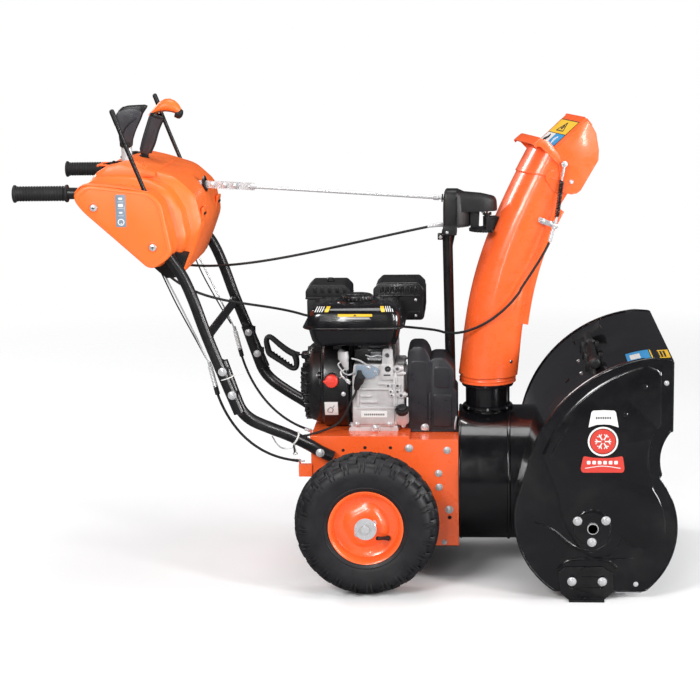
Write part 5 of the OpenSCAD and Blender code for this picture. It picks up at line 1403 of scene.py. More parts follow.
def chute_gear_cover():
    """Cover over the chute's gear, and the fittings of its post."""
    p = Piece("gear_cover_moulding")
    # rounded hood: rear box that narrows and rounds towards the chute
    rows = []
    plan = [(173, -37), (206, -37), (225, -21), (236, -7), (236, 7), (225, 21), (206, 37), (173, 37)]
    for z, inset in ((807.6, 0.6), (814, 0), (850, 0.2), (872, 1.0), (884, 3.0), (890, 6.5), (893, 11)):
        mid = Vector((200, 0))
        ring = []
        for x, y in fillet(plan, 8, 4):
            q = Vector((x, y))
            d = q - mid
            q = mid + d * (1 - inset / d.length)
            slope = max(0, q.x - 206) * 0.34 if z > 870 else 0
            ring.append((q.x, q.y, z - slope))
        rows.append(ring)
    p.loft(rows, BLACK_PLASTIC)
    nose = ([(200, -29), (264, -28.4)] + [(x, y) for x, y in arc(275, 0, 23.6, -48, 48, 12)]
            + [(264, 28.4), (200, 29)])
    rows = []
    for z, inset in ((843.4, 0.4), (846, 0), (868, 0.3), (878, 1.2), (884, 3.2), (887.4, 7)):
        mid = Vector((250, 0))
        ring = []
        for x, y in nose:
            d = Vector((x, y)) - mid
            q = mid + d * (1 - inset / max(d.length, 1))
            fall = max(0, q.x - 236) * (0.20 if z > 860 else 0)
            ring.append((q.x, q.y, z - fall))
        rows.append(ring)
    p.loft(rows, BLACK_PLASTIC)
    # tongue that hides the back of the locking gear
    p.prism(fillet([(236, 804), (256, 806), (258, 846), (236, 846)], 3, 3), -11, 11, BLACK_PLASTIC, 2, 3)
    # lower lip, ribs under it and the bracket
    p.box((172.4, -37.6, 789.4), (204.6, 37.6, 812), BLACK_PLASTIC, 2.5, 3)
    for k in range(9):
        x = 209 + k * 2.9
        reach = 34 - k * 3.0
        for s in (-1, 1):
            p.box((x - 0.8, s * reach - 1.2, 806.4), (x + 0.8, s * reach + 1.2, 810.4), GREY_PLASTIC, 0.3,
                  1)
    for s in (-1, 1):
        p.tube(smooth_path([(176, s * 37.4, 812), (206, s * 37.4, 811), (226, s * 21.4, 811),
                            (236.6, s * 7, 811)], 5), 1.3, BLACK_PLASTIC, 8)
        p.tube([(205, s * 37.6, 816), (205.6, s * 37.4, 850), (205.4, s * 36.4, 880)], 0.9, BLACK_PLASTIC,
               8)
        p.screw((182, s * 37.6, 797), (0, s, 0), 3.4)
    p.rod((275, 0, 798), (275, 0, 846), 2.9, STEEL, 20)
    p.lathe([(4, 0), (9, 0), (10, 1.4), (9, 3), (4, 3)], (172.4, 0, 873.2), (-1, 0, 0.068), BLACK_PLASTIC,
            32)
    # cable ferrule on the rear face
    p.lathe([(0, 0), (4.4, 0), (4.8, 1), (4.8, 14), (3.4, 15), (3.4, 24), (0, 24)], (172.6, -20, 813),
            (-1, 0, -0.03), STEEL, 24)
    p.make("frame", "black_plastic", ["gear_cover"], sharp=30)

    # small steel parts of the post head
    q = Piece("post_head_fittings")
    q.prism(fillet([(166, 781), (200, 781), (192, 744), (174, 744)], 3, 3), 71.4, 75.6, BLACK_SATIN, 0.8,
            2)
    q.bolt((183, 71.2, 758), (0, -1, 0), 5)
    q.rod((175, 52, 779.5), (175, 52, 783), 7, STEEL, 20)
    q.box((158, 48, 768), (172, 62, 783), BLACK_SATIN, 1.4)
    q.rod((165, 45, 775), (165, 49, 775), 4, STEEL, 18)
    q.lathe([(12.2, 0), (20, 0), (20.6, 1), (20.6, 4), (13, 5)], (187.9, 60, mm_box("control_post")[0].z),
            (0, 0, 1), BLACK_SATIN, 36)
    q.make("frame", "black_paint")


chute_gear_cover()


# ---------------------------------------------------------------- chute and deflector

REAR = [(209, 456), (232, 620), (230, 718), (386, 990)]
FRONT = [(343, 456), (356, 562), (355, 730), (476, 888)]
HINGE_AXIS = Vector(JOINTS["deflector_tilt"]["axis"])
CHUTE_AXIS = Vector((pivot("chute_turn").x, 0, 0))
# The chute is drawn pointing straight ahead and then turned to where it stands at rest.
TURNED = ((Matrix.Translation(CHUTE_AXIS) @ Matrix.Rotation(math.atan2(-HINGE_AXIS.x, HINGE_AXIS.y), 4,
        "Z") @ Matrix.Translation(-CHUTE_AXIS)))
HINGE = TURNED.inverted() @ pivot("deflector_tilt")


def bezier_2d(p, t):
    """A point on a flat cubic curve."""
    s = 1 - t
    return (Vector(p[0]) * s ** 3 + Vector(p[1]) * 3 * s * s * t + Vector(p[2]) * 3 * s * t * t
            + Vector(p[3]) * t ** 3)


def chute_point(t, ang, grow=0.0):
    """Point of the chute's skin: t along its length, ang round its section, 0 at the front."""
    r, f = bezier_2d(REAR, t), bezier_2d(FRONT, t)
    mid, half = (r + f) / 2, (f - r) / 2
    c, q = math.cos(ang), math.sin(ang)
    at = mid + half.normalized() * (half.length + grow) * math.copysign(abs(c) ** 0.8, c)
    return Vector((at.x, (68 + 3 * t + grow) * math.copysign(abs(q) ** 0.8, q), at.y))


def chute_sheet(p, t0, t1, gap, mat, thick=1.8, steps=28, around=60, grow=0.0):
    """Curved sheet from t0(angle) to t1, open at the front by gap each side."""
    rows = []
    for i in range(steps + 1):
        w = i / steps
        angles = [gap + (TAU - 2 * gap) * k / around for k in range(around + 1)]
        span = lambda a: t0(a) + (t1 - t0(a)) * w
        rows.append([chute_point(span(a), a, grow) for a in angles]
                    + [chute_point(span(a), a, grow - thick) for a in reversed(angles)])
    p.loft(rows, mat)


def chute():
    """Rolled chute sheet with its ring, flanges, ears and clamp."""
    p = Piece("chute_shell")
    p.place = TURNED
    split = 0.325
    # closed lower pipe, then the channel with its front open
    skin = [[chute_point(split * i / 10, TAU * k / 72) for k in range(72)] for i in range(11)]
    bore = [[chute_point(split * i / 10, TAU * k / 72, -1.8) for k in range(72)] for i
            in range(10, -1, -1)]
    p.loft(skin + bore, ORANGE, caps=False, closed=True)
    gap = 0.70
    chute_sheet(p, lambda a: split - 0.004, 1.0, gap, ORANGE)
    # flanges that run forward from both edges of the opening
    for s in (-1, 1):
        rows, lip = [], []
        for i in range(25):
            t = split + (0.90 - split) * i / 24
            edge = chute_point(t, s * gap)
            u = (chute_point(t, 0) - chute_point(t, math.pi)).normalized()
            side = Vector((0, s, 0))
            tip = edge + u * 14.5 + side * 1.5
            rows.append([edge - u * 2, edge + u * 3 + side * 0.8, tip, tip - side * 2, edge - side * 1.8])
            lip.append(tip - side)
        p.loft(rows, ORANGE)
        p.tube(lip, 1.7, ORANGE, 10)
    # turned rim at the foot, with rolled beads
    x0, z0 = CHUTE_AXIS.x, mm_box("chute")[0].z
    p.lathe([(61.4, 0.2), (66.4, 0.2), (67, 1), (66.8, 3.2), (65.2, 5), (66.2, 7), (66.8, 9), (66.2, 11),
             (64.6, 12.6), (63.8, 15), (64.6, 17.6), (66.6, 20.4), (67.6, 24), (65, 24.4), (63, 19),
             (61.4, 14)], (x0, 0, z0), (0, 0, 1), ORANGE, 96)
    # sleeve from the round foot to the channel
    rows = []
    for i in range(9):
        w = i / 8
        ring = []
        for k in range(96):
            a = TAU * k / 96
            foot = Vector((x0 + 67.3 * math.cos(a), 67.3 * math.sin(a), z0 + 22.5))
            ring.append(foot.lerp(chute_point(0.05, a, 0.15), w * w * (3 - 2 * w)))
        rows.append(ring)
    p.loft(rows, ORANGE, caps=False)
    # holes shown as painted-shade discs, each with a screw beside it
    for s in (-1, 1):
        at = chute_point(0.10, s * 1.15, 0.1)
        out = Vector((0.35, s * 0.94, 0))
        p.lathe([(0, 0), (4.0, 0), (4.0, 0.4), (0, 0.4)], at, out, PAINTED_SHADE, 24)
        p.screw(at + Vector((-1.6, s * 0.7, 2)), out, 2.0)
    # doubled collar round the top, with a folded edge
    foot = lambda a: 0.925 + 0.04 * (1 + math.cos(a))
    chute_sheet(p, foot, 1.004, 0.95, ORANGE, thick=2.2, steps=8, grow=2.6)
    p.tube([chute_point(foot(a), a, 2.0) for a in [0.95 + (TAU - 1.9) * k / 60 for k in range(61)]], 1.5,
           ORANGE, 8)
    p.tube([chute_point(1.0, a, 0.9) for a in [0.72 + (TAU - 1.44) * k / 60 for k in range(61)]], 1.7,
           ORANGE, 8)
    # hinge ears with their pins
    ear = fillet([(392, 921), (414, 886), (451, 888), (467, 901), (469, 914), (458, 924), (403, 941)], 8,
                 4)
    for s in (-1, 1):
        y0, y1 = sorted((s * 70, s * 73))
        p.prism(ear, y0, y1, ORANGE, 0.6)
        p.rod((HINGE.x, s * 70.6, HINGE.z), (HINGE.x, s * 78.2, HINGE.z), 4.95, CAST, 28, soft=1.4)
    # clamp of the deflector cable: band, two carriage bolts
    band = [(378, -70.6, 826), (386, -74.4, 822), (396, -76.0, 818), (408, -77.0, 814), (419, -79.0, 809)]
    rows = []
    for q in band:
        q = Vector(q)
        rows.append([q + Vector((0.5, 2.0, 6.2)), q + Vector((0.5, -0.8, 6.2)),
                     q + Vector((-0.5, -0.8, -6.2)), q + Vector((-0.5, 2.0, -6.2))])
    p.loft(rows, STEEL)
    for x, y, z in ((386, -75.4, 822), (404, -77.6, 815.5)):
        p.bolt((x, y, z), (0, -1, 0), 5.0)
    p.make("chute", "orange_paint", ["chute"], sharp=30)


chute()

ROOF_FOOT = Vector((411, 0, 987))
ROOF_RISE = Vector((0.761, 0, 0.649))
ROOF_OUT = Vector((-0.649, 0, 0.761))


def roof(w, y, h=0.0):
    """Point of the hood: w up the roof from its fold, y across, h below the roof plane."""
    return ROOF_FOOT + ROOF_RISE * w - ROOF_OUT * h + Vector((0, y, 0))


def deflector():
    """Folded hood over the chute's mouth, with its rear lip and plain label."""
    p = Piece("deflector_hood")
    p.place = TURNED
    half = 76.0
    bend = 15.0
    cheek = [(404.6, 974.8), (482.4, 1044.2), (494.6, 1048), (503.4, 1037), (513.6, 1019), (518.8, 1000),
             (521, 981), (520, 958), (499, 924), (477, 889), (467, 882.6), (454, 881), (433, 886),
             (425, 952)]
    outline = fillet(cheek, 4, 3)
    for s in (-1, 1):
        y0, y1 = sorted((s * (half - 2), s * half))
        p.prism(outline, y0, y1, ORANGE, 0.6, 2)
    # roof with both long edges bent down into the cheeks
    rows = []
    for w in (-1.0, 0.0, 4, 30, 60, 90, 104.5, 106.2):
        outer, inner = [], []
        for s in (1, -1):
            steps = range(9) if s == 1 else range(8, -1, -1)
            for k in steps:
                a = math.pi / 2 * k / 8
                drop = bend * (1 - math.sin(a))
                outer.append(roof(w, s * (half - bend + bend * math.cos(a)), drop + (6 if k == 0 else 0)))
                inner.append(roof(w, s * (half - bend + (bend - 2) * math.cos(a)),
                                  bend - (bend - 2) * math.sin(a) + (6 if k == 0 else 0)))
        rows.append(outer + inner[::-1])
    p.loft(rows, ORANGE)
    # stiffened rear edge: the roof folds up, then back on itself, and the fold runs down both cheeks
    fold = [roof(0, 0, 1.0), roof(-1, 0, -4), roof(-3.2, 0, -36), roof(-4.4, 0, -39.6), roof(-7, 0, -41),
            (362.4, 0, 1000.2)]
    rows = []
    for q in fold:
        q = Vector(q)
        ring = []
        for k in range(-12, 13):
            u = k / 12
            y = (half - 0.4) * math.sin(u * math.pi / 2)
            sag = 7.0 * abs(u) ** 7
            ring.append(Vector((q.x + sag * 0.7, y, q.z - sag)))
        rows.append(ring + [v + Vector((1.4, 0, -1.6)) for v in reversed(ring)])
    p.loft(rows, ORANGE)
    rear = fillet([(366, 998), (380, 1011), (396, 1008.5), (410, 995), (424, 975), (431, 953), (425, 950),
                   (404, 970), (385, 991)], 5, 4)
    for s in (-1, 1):
        y0, y1 = sorted((s * (half - 2.2), s * (half + 0.8)))
        p.prism(rear, y0, y1, ORANGE, 1.0, 2)
        p.tube([(383, s * half, 993), (404, s * half, 972), (425, s * half, 951), (429, s * half, 920),
                (433, s * half, 888)], 1.6, ORANGE, 10)
    for s in (-1, 1):
        p.tube([(493, s * (half - 2), 1054), (503, s * (half - 1), 1038), (514, s * (half - 1), 1019),
                (520.6, s * (half - 1), 981), (519.6, s * (half - 1), 958), (477, s * (half - 1), 890),
                (468, s * (half - 1), 884), (454, s * (half - 1), 882)], 1.5, ORANGE, 10)
        p.lathe([(5.2, 0), (5.2, 0.9), (5.8, 1.3), (6.6, 0.9), (7.2, 0)], (HINGE.x, s * half, HINGE.z),
                (0, s, 0), ORANGE, 32)
    p.tube([roof(106, y) for y in (-64, -30, 0, 30, 64)], 1.4, ORANGE, 10)
    p.rod((384, 8, 1000), (384, 36, 1000), 4.4, DARK_STEEL, 18)
    p.box((380, 2, 996), (396, 42, 999), DARK_STEEL, 1)

    # information label on the roof: a yellow field over a white and a blue one, without wording
    def on_roof(w0, w1, y0, y1, mat, lift):
        """A flat patch on the hood's roof."""
        p.patch([roof(w0, y1), roof(w0, y0), roof(w1, y0), roof(w1, y1)], mat, lift, 0.25)

    on_roof(4, 90, -62, 58, INK, 0.25)
    on_roof(46, 87.5, -59.5, 55.5, YELLOW, 0.55)
    on_roof(6, 44, -59.5, 0, BLUE, 0.55)
    on_roof(6, 44, 1, 55.5, WHITE, 0.55)
    lift = ROOF_OUT * 0.9
    corners = [(54, 20), (54, -26), (80, -3)]
    for i in range(3):
        a, b = corners[i], corners[(i + 1) % 3]
        p.tube([roof(*a) + lift, roof(*b) + lift], 1.3, INK, 8)
    p.tube([roof(60, -3) + lift, roof(66, -6) + lift, roof(71, -2) + lift], [3.2, 2.4, 1.6], INK, 8)
    p.tube([roof(12, 26) + lift, roof(22, 30) + lift, roof(30, 22) + lift, roof(38, 26) + lift],
           [4, 4.6, 3.2, 2], INK, 8)
    p.tube([roof(14, -30) + lift, roof(26, -24) + lift, roof(36, -32) + lift], [1.6, 2.4, 1.6], WHITE, 8)
    p.make("deflector", "orange_paint", ["deflector"], sharp=30)

    q = Piece("deflector_eyelet")
    q.place = TURNED
    eye = Vector((436, -82, 952))
    q.tube([eye + Vector((6.0 * math.cos(TAU * k / 24), 0, 6.0 * math.sin(TAU * k / 24))) for k
            in range(24)], 1.6, STEEL, 10, closed=True)
    q.rod(eye + Vector((0, -4.4, 0)), eye + Vector((0, 5.4, 0)), 4.3, STEEL, 24)
    q.bolt(eye + Vector((0, -2.6, 0)), (0, -1, 0), 5)
    q.tube(smooth_path([(435.6, -82, 946), (434, -82, 936), (431.6, -82, 924)], 5), 2.1, STEEL, 12)
    q.coil((431.8, -82, 926), (434.6, -82, 944), 2.7, 0.9, 7, STEEL, 6)
    q.make("deflector", "steel", ["deflector_link"])


deflector()


# ---------------------------------------------------------------- chute rod

def chute_rod():
    """Twisted rod from the joystick, with its yoke and toothed sector."""
    p = Piece("chute_rod_linkage")
    front = pivot("rod_roll")
    axis = Vector(JOINTS["rod_roll"]["axis"]).normalized()
    along = lambda x: front + axis * ((x - front.x) / axis.x)
    p.rod(along(-556), along(-398), 4, STEEL, 24)
    p.rod(along(-284), along(268), 4, STEEL, 24)
    for x0, x1, y in ((-398, -318, -1.7), (-352, -272, 1.7)):
        a, b = along(x0), along(x1)
        up = axis.cross(Vector((0, 1, 0))).normalized() * -1
        n = 24
        ring = []
        for k in range(n):
            t = TAU * k / n
            cx = (math.copysign(1, math.cos(t)) if abs(math.cos(t)) > 0.05 else 0)
            ring.append((a if cx < 0 else b) + axis * (7 * math.cos(t)) + up * (8.6 * math.sin(t)))
        rows = [[v + Vector((0, y - 1.3, 0)) for v in ring], [v + Vector((0, y + 1.3, 0)) for v in ring]]
        p.loft(rows, STEEL)
    for x in (-366, -338, -314):
        c = along(x)
        p.bolt(c + Vector((0, -3.2, 0)), (0, -1, 0), 5.2)
        p.bolt(c + Vector((0, 3.2, 0)), (0, 1, 0), 5.2, washer=False)
    for x0, x1 in ((-398, -424), (-284, -262)):
        a, b = along(x0 + (6 if x0 < x1 else 4)), along(x1)
        p.tube([a, a.lerp(b, 0.3), a.lerp(b, 0.7), b], [6.6, 5.8, 4.8, 4.2], STEEL, 20)
    p.rod(along(-533) - Vector((0, 9.6, 0)), along(-533) + Vector((0, 9.6, 0)), 2.45, STEEL, 16)
    p.rod(along(150), along(163), 6, STEEL, 24)
    # toothed sector at the front end
    roll = -math.atan2(-HINGE_AXIS.x, HINGE_AXIS.y) / 3
    turn = Matrix.Translation(front) @ Vector((1, 0, 0)).rotation_difference(axis).to_matrix().to_4x4()
    p.place = turn @ Matrix.Rotation(roll, 4, "X")
    outline = [(7, 5)] + [(y, z) for y, z in arc(0, 0, 25.5, -40, -140, 14)] + [(-7, 5)]
    p.prism([(y, z) for y, z in outline], 1.2, 5.8, STEEL, 0.5, 1, plane="yz")
    for i in range(-2, 3):
        a = math.radians(-90 + 15 * i)
        c, s = math.cos(a), math.sin(a)
        mid = Vector((3.5, 27 * c, 27 * s))
        p.box((mid.x - 2.8, mid.y - 0.8, mid.z - 3), (mid.x + 2.8, mid.y + 0.8, mid.z + 3), STEEL, 0.25,
              1, Matrix.Rotation(math.radians(15 * i), 4, "X"))
    p.lathe([(4, 0), (8, 0), (8, 6.6), (7, 7.6), (4, 7.6)], (-1, 0, 0), (1, 0, 0), STEEL, 28)
    p.place = Matrix.Identity(4)
    p.make("chute_rod", "steel", ["chute_rod"])


chute_rod()


# ---------------------------------------------------------------- auger housing details

def housing_details():
    """Pressings, rims, bearings and plain decals of the auger housing."""
    out = -(mm_box("auger_housing")[1].y)
    p = Piece("housing_pressings")
    back = (arc(535, 186, 200, 236, 174, 20) + [(338, 222)] + arc(674, 235, 319, 163.8, 96, 30)
            + [(681, 549)])
    front = ([(681, 388)] + arc(757, 322, 104, 140, 199, 12) + arc(508, 165, 186, 39, -51, 24)
             + [(600, 20)])
    outline = back + front
    loop = fillet(outline, 6, 2)
    # rolled border that stands proud of the sheet all round
    for s in (-1, 1):
        y = s * abs(out)
        p.tube([(x, y - s * 0.6, z) for x, z in loop], 2.3, BLACK_GLOSS, 12, closed=True)
        # raised panel: its soft step runs parallel to the back edge and dips round the bearing
        panel = [(437, 208), (436, 232)]
        panel += [(x + 24, z - 10) for x, z in arc(674, 235, 319, 160, 104, 22)]
        panel += [(655, 520), (655, 400)] + arc(757, 322, 130, 146, 196, 8)
        panel += arc(508, 165, 160, 36, -4, 8)
        panel += [(630, 120), (590, 128), (572, 150), (566, 128), (550, 108), (528, 100), (504, 102),
                  (484, 116), (468, 140), (452, 168)]
        soft = fillet([Vector(q) for q in panel], 10, 3)
        mid = Vector((560, 300))
        rows = []
        for grow, up in ((5.0, -0.8), (3.4, 0.5), (1.2, 1.8), (-0.8, 2.8), (-3.2, 3.3)):
            ring = []
            for q in soft:
                q = Vector(q)
                d = q - mid
                q = mid + d * (1 + grow / d.length)
                ring.append((q.x, y + s * (up - 0.1), q.y))
            rows.append(ring)
        p.loft(rows, BLACK_GLOSS)
        # creases that catch the light: one along the back arc, one that sweeps under the bearing
        for crease, r in (([(406, 300), (413, 328), (426, 355), (455, 405), (480, 438)], 3.6),
                          ([(378, 180), (402, 171), (423, 159), (451, 134), (480, 118), (513, 114),
                            (543, 134), (557, 165), (548, 198)], 4.2)):
            line = smooth_path(crease, 6)
            count = len(line)
            p.tube([(v[0], y + s * 0.2, v[1]) for v in line],
                   [r * (0.3 + 0.7 * math.sin(math.pi * k / (count - 1))) for k in range(count)],
                   BLACK_GLOSS, 12)
        # bearing flange over it
        c = (506, 168)
        rows = []
        for r, up in ((43.5, 0), (43, 2.4), (41, 4.6), (38, 5.6), (30, 5.8), (24, 4.8), (20, 4.6)):
            rows.append([(x0, y + s * up, z0) for x0, z0 in arc(c[0], c[1], r, 0, 360, 64)[:-1]])
        p.loft(rows, BLACK_GLOSS)
        p.lathe([(0, 4), (12.4, 4), (12.4, 11), (11, 12), (0, 12)], (508, y, 167), (0, s, 0), STEEL, 32)
        for x0, z0 in ((474, 184), (537, 185), (506, 135)):
            p.bolt((x0, y + s * 5.4, z0), (0, s, 0), 7.6)
        # pressed brow over the skid shoe, and the crease that runs forward from it
        brow = smooth_path([(430, 68), (446, 86), (470, 94), (520, 94), (546, 88), (562, 74)], 6)
        p.tube([(q[0], y, q[1]) for q in [(v.x, v.y) for v in [Vector(b) for b in brow]]], 3.2,
               BLACK_GLOSS, 12)
        p.tube([(540, y + s * 0.4, 92), (570, y + s * 0.2, 95), (598, y, 97)], [2.6, 1.8, 0.8],
               BLACK_GLOSS, 10)
        for x0, z0, size in ((620, 489, 5.2), (578, 427, 5.2)):
            p.lathe([(0, 0), (size, 0), (size * 1.05, 0.8), (size * 0.7, 2.4), (0, 3.2)],
                    (x0, y + s * 3, z0), (0, s, 0), BLACK_GLOSS, 28)
        p.bolt((667, y, 497), (0, s, 0), 4.2)
        p.bolt((605, y, 36), (0, s, 0), 4.2)
    # generic decals on the near side: a white cap, a round sign and an orange band, all without words
    y = out - 3.4
    cap = ([(497, 398), (503, 432), (507, 436)] + [(530, 437)]
           + [(553, 436), (557, 432), (563, 398), (545, 404), (530, 405), (515, 404)])
    p.prism([(x, z) for x, z in cap], y - 0.45, y + 0.2, WHITE, 0.1, 1)
    for i in range(7):
        x = 513 + i * 5
        p.prism([(x, 417), (x + 3, 417), (x + 3, 422), (x, 422)], y - 0.6, y - 0.4, INK, 0)
    p.lathe([(29.4, 0), (33.4, 0), (33.4, 0.5), (29.4, 0.5)], (529, y + 0.1, 366), (0, -1, 0), WHITE, 64)
    p.lathe([(0, 0), (27.8, 0), (27.8, 0.5), (0, 0.5)], (529, y + 0.1, 366), (0, -1, 0), LABEL_RED, 64)
    for k in range(6):
        a = TAU * k / 6
        c, s_ = math.cos(a), math.sin(a)
        p.tube([(529 + 4 * c, y - 0.6, 366 + 4 * s_), (529 + 18 * c, y - 0.6, 366 + 18 * s_)], 1.5, WHITE,
               8)
        for w in (-1, 1):
            b = a + w * 0.35
            p.tube([(529 + 12 * c, y - 0.6, 366 + 12 * s_),
                    (529 + 17 * math.cos(b), y - 0.6, 366 + 17 * math.sin(b))], 1.1, WHITE, 8)
    band = fillet([(486, 333), (508, 329), (529, 328), (550, 329), (573, 333), (577, 303), (574, 295),
                   (484, 295), (480, 303)], 5, 3)
    p.prism(band, y - 0.45, y + 0.2, LABEL_RED, 0.1, 1)
    p.tube(smooth_path([(490, y - 0.5, 305), (529, y - 0.5, 310), (568, y - 0.5, 305)], 6), 0.9, WHITE, 8)
    for i in range(6):
        x = 494 + i * 12
        p.prism(fillet([(x, 314), (x + 8, 314), (x + 8, 322), (x, 322)], 2, 2), y - 0.65, y - 0.3, WHITE,
                0.05, 1)
    # label on the sloping top: blue and yellow fields
    on_top = lambda x: 235 + math.sqrt(319.4 ** 2 - (x - 674) ** 2) if x < 640 else 549.6 + (x
            - 681) * 0.07 + 2.6
    for x0, x1, mat in ((583, 633, BLUE), (634.5, 676, YELLOW)):
        n = 6
        for i in range(n):
            a, b = x0 + (x1 - x0) * i / n, x0 + (x1 - x0) * (i + 1) / n
            p.patch([(a, -300, on_top(a)), (b, -300, on_top(b)), (b, -212, on_top(b)),
                     (a, -212, on_top(a))], mat, 0.7, 0.4)
    for i in range(3):
        x = 650 + i * 7
        p.patch([(x, -292, on_top(x) + 0.8), (x + 4, -292, on_top(x + 4) + 0.8),
                 (x + 4, -226, on_top(x + 4) + 0.8), (x, -226, on_top(x) + 0.8)], INK, 0.8, 0.2)
    p.patch([(590, -290, on_top(590) + 0.9), (612, -290, on_top(612) + 0.9),
             (612, -240, on_top(612) + 0.9), (590, -240, on_top(590) + 0.9)], WHITE, 0.8, 0.2)
    # seam of the wrap, hooks for the clean-out tool, small slots filled with painted shade
    for s in (-1, 1):
        path = [(x, s * (abs(out) - 9), z) for x, z in arc(674, 235, 320.3, 160, 100, 24)]
        p.tube(path, 1.6, BLACK_GLOSS, 8)
    for yy in (-180, -40):
        p.prism(fillet([(494, 497), (534, 529), (534, 539), (525, 539), (525, 531), (503, 531),
                        (503, 539), (494, 539)], 2, 3), yy - 8.6, yy + 8.6, BLACK_SATIN, 1.0, 2)
        p.screw((486, yy, on_top(486) + 0.4), (-0.5, 0, 0.87), 4)
    p.patch([(452, -152, on_top(452)), (460, -152, on_top(460)), (460, -138, on_top(460)),
             (452, -138, on_top(452))], PAINTED_SHADE, 0.5, 0.4)
    # fixing of the outlet: ring of clips round the neck and seam flange of the drum
    x0 = pivot("chute_turn").x
    p.lathe([(52.4, 374), (58, 376), (60, 379), (58, 382), (53, 384)], (x0, 0, 0), (0, 0, 1), BLACK_GLOSS,
            72)
    p.lathe([(52.4, 428), (60, 429), (61, 431), (60.4, 435.6), (56, 437), (52, 437)], (x0, 0, 0),
            (0, 0, 1), BLACK_GLOSS, 72)
    for k in range(3):
        a = math.radians(-90 + (k - 1) * 50)
        p.bolt((x0 + 56 * math.cos(a), 56 * math.sin(a), 379),
               (math.cos(a) * 0.4, math.sin(a) * 0.4, 0.8), 3.6)
    z = pivot("impeller_spin").z
    p.lathe([(158.8, 0), (160.6, 1.6), (160.8, 3.6), (160.2, 5.4), (158.8, 6)], (207.4, 0, z), (1, 0, 0),
            BLACK_GLOSS, 120)
    p.lathe([(158.8, -2), (161.6, 0), (162, 2), (161.6, 5), (158.8, 7)], (321, 0, z), (1, 0, 0),
            BLACK_GLOSS, 120)
    for k in range(12):
        a = TAU * k / 12 + 0.2
        p.bolt((207.2, 120 * math.cos(a), z + 120 * math.sin(a)), (-1, 0, 0), 4.4)
    p.tube([(212, -76, z + 140.4), (226, -84, z + 135.6)], 1.6, NYLON, 8)
    p.make("frame", "black_paint", ["auger_bearings"], sharp=28)


housing_details()


def fasteners():
    """Bolts, screws and small holes of the tractor box and the handles."""
    p = Piece("frame_fasteners")
    for s in (-1, 1):
        y = s * 150.2
        for x, z, size in ((93, 310, 7), (181, 305, 6.4), (161, 250, 6.4), (162, 217, 6.4), (185, 163, 7),
                           (173, 84, 4.6)):
            p.bolt((x, y, z), (0, s, 0), size)
        # small holes shown as painted-shade discs
        for x, z, r in ((-9, 311, 3.4), (50, 311, 3.4), (186, 144, 4.2), (-60, 305, 3.2)):
            p.lathe([(0, 0.15), (r, 0.15), (r + 0.4, 0.4), (r, 0.5), (0, 0.3)], (x, y, z), (0, s, 0),
                    PAINTED_SHADE, 24)
        p.tube([(88, y, 331), (92, y, 331)], 1.2, ORANGE, 8)
        for x, z in ((462, 43), (530, 43)):
            p.bolt((x, s * 314.7, z), (0, s, 0), 7.6)
        # folded tab that carries the clutch cable, with its ferrule
        p.box((-164, s * 144 - 3.2, 270), (-160, s * 144 + 3.2, 282), ORANGE, 1)
        p.rod((-150, s * 150, 279), (-176, s * 152, 281), 2.0, STEEL, 14)
        p.lathe([(0, 0), (3.6, 0), (4, 1), (4, 7), (0, 8)], (-163, s * 151, 280), (-1, 0, 0.06), STEEL,
                20)
    # bearing carriers of the axle and shaft
    for s in (-1, 1):
        p.lathe([(10, 0), (27, 0), (28, 1), (28, 3), (20, 5), (18.4, 8), (10, 8)],
                (0, s * 150, pivot("wheel_spin").z), (0, s, 0), STEEL, 40)
    # brackets behind the engine
    p.prism(fillet([(-150, 338), (-134, 338), (-134, 372), (-150, 362)], 3, 3), 100, 118, ORANGE, 1)
    p.prism(fillet([(-160, 336), (-128, 336), (-128, 341), (-160, 341)], 1.6, 2), 96, 122, ORANGE, 1)
    # small linkage hanging behind the near handle: rod, spring and knob
    p.tube(smooth_path([(-222, -176, 345), (-212, -172, 326), (-198, -168, 314), (-176, -166, 316),
                        (-168, -165, 326)], 6), 1.7, STEEL, 10)
    p.rod((-172, -166, 322), (-170, -166, 302), 3.4, DARK_STEEL, 16)
    p.lathe([(0, 0), (5, 0), (6, 2), (5, 4), (0, 5)], (-170, -166, 303), (0, 0, -1), STEEL, 20)
    p.coil((-172, -164, 330), (-150, -160, 322), 3, 0.8, 7, STEEL, 6)
    p.make("frame", "steel", ["frame_bolts"])


fasteners()


# ---------------------------------------------------------------- clean-out tool

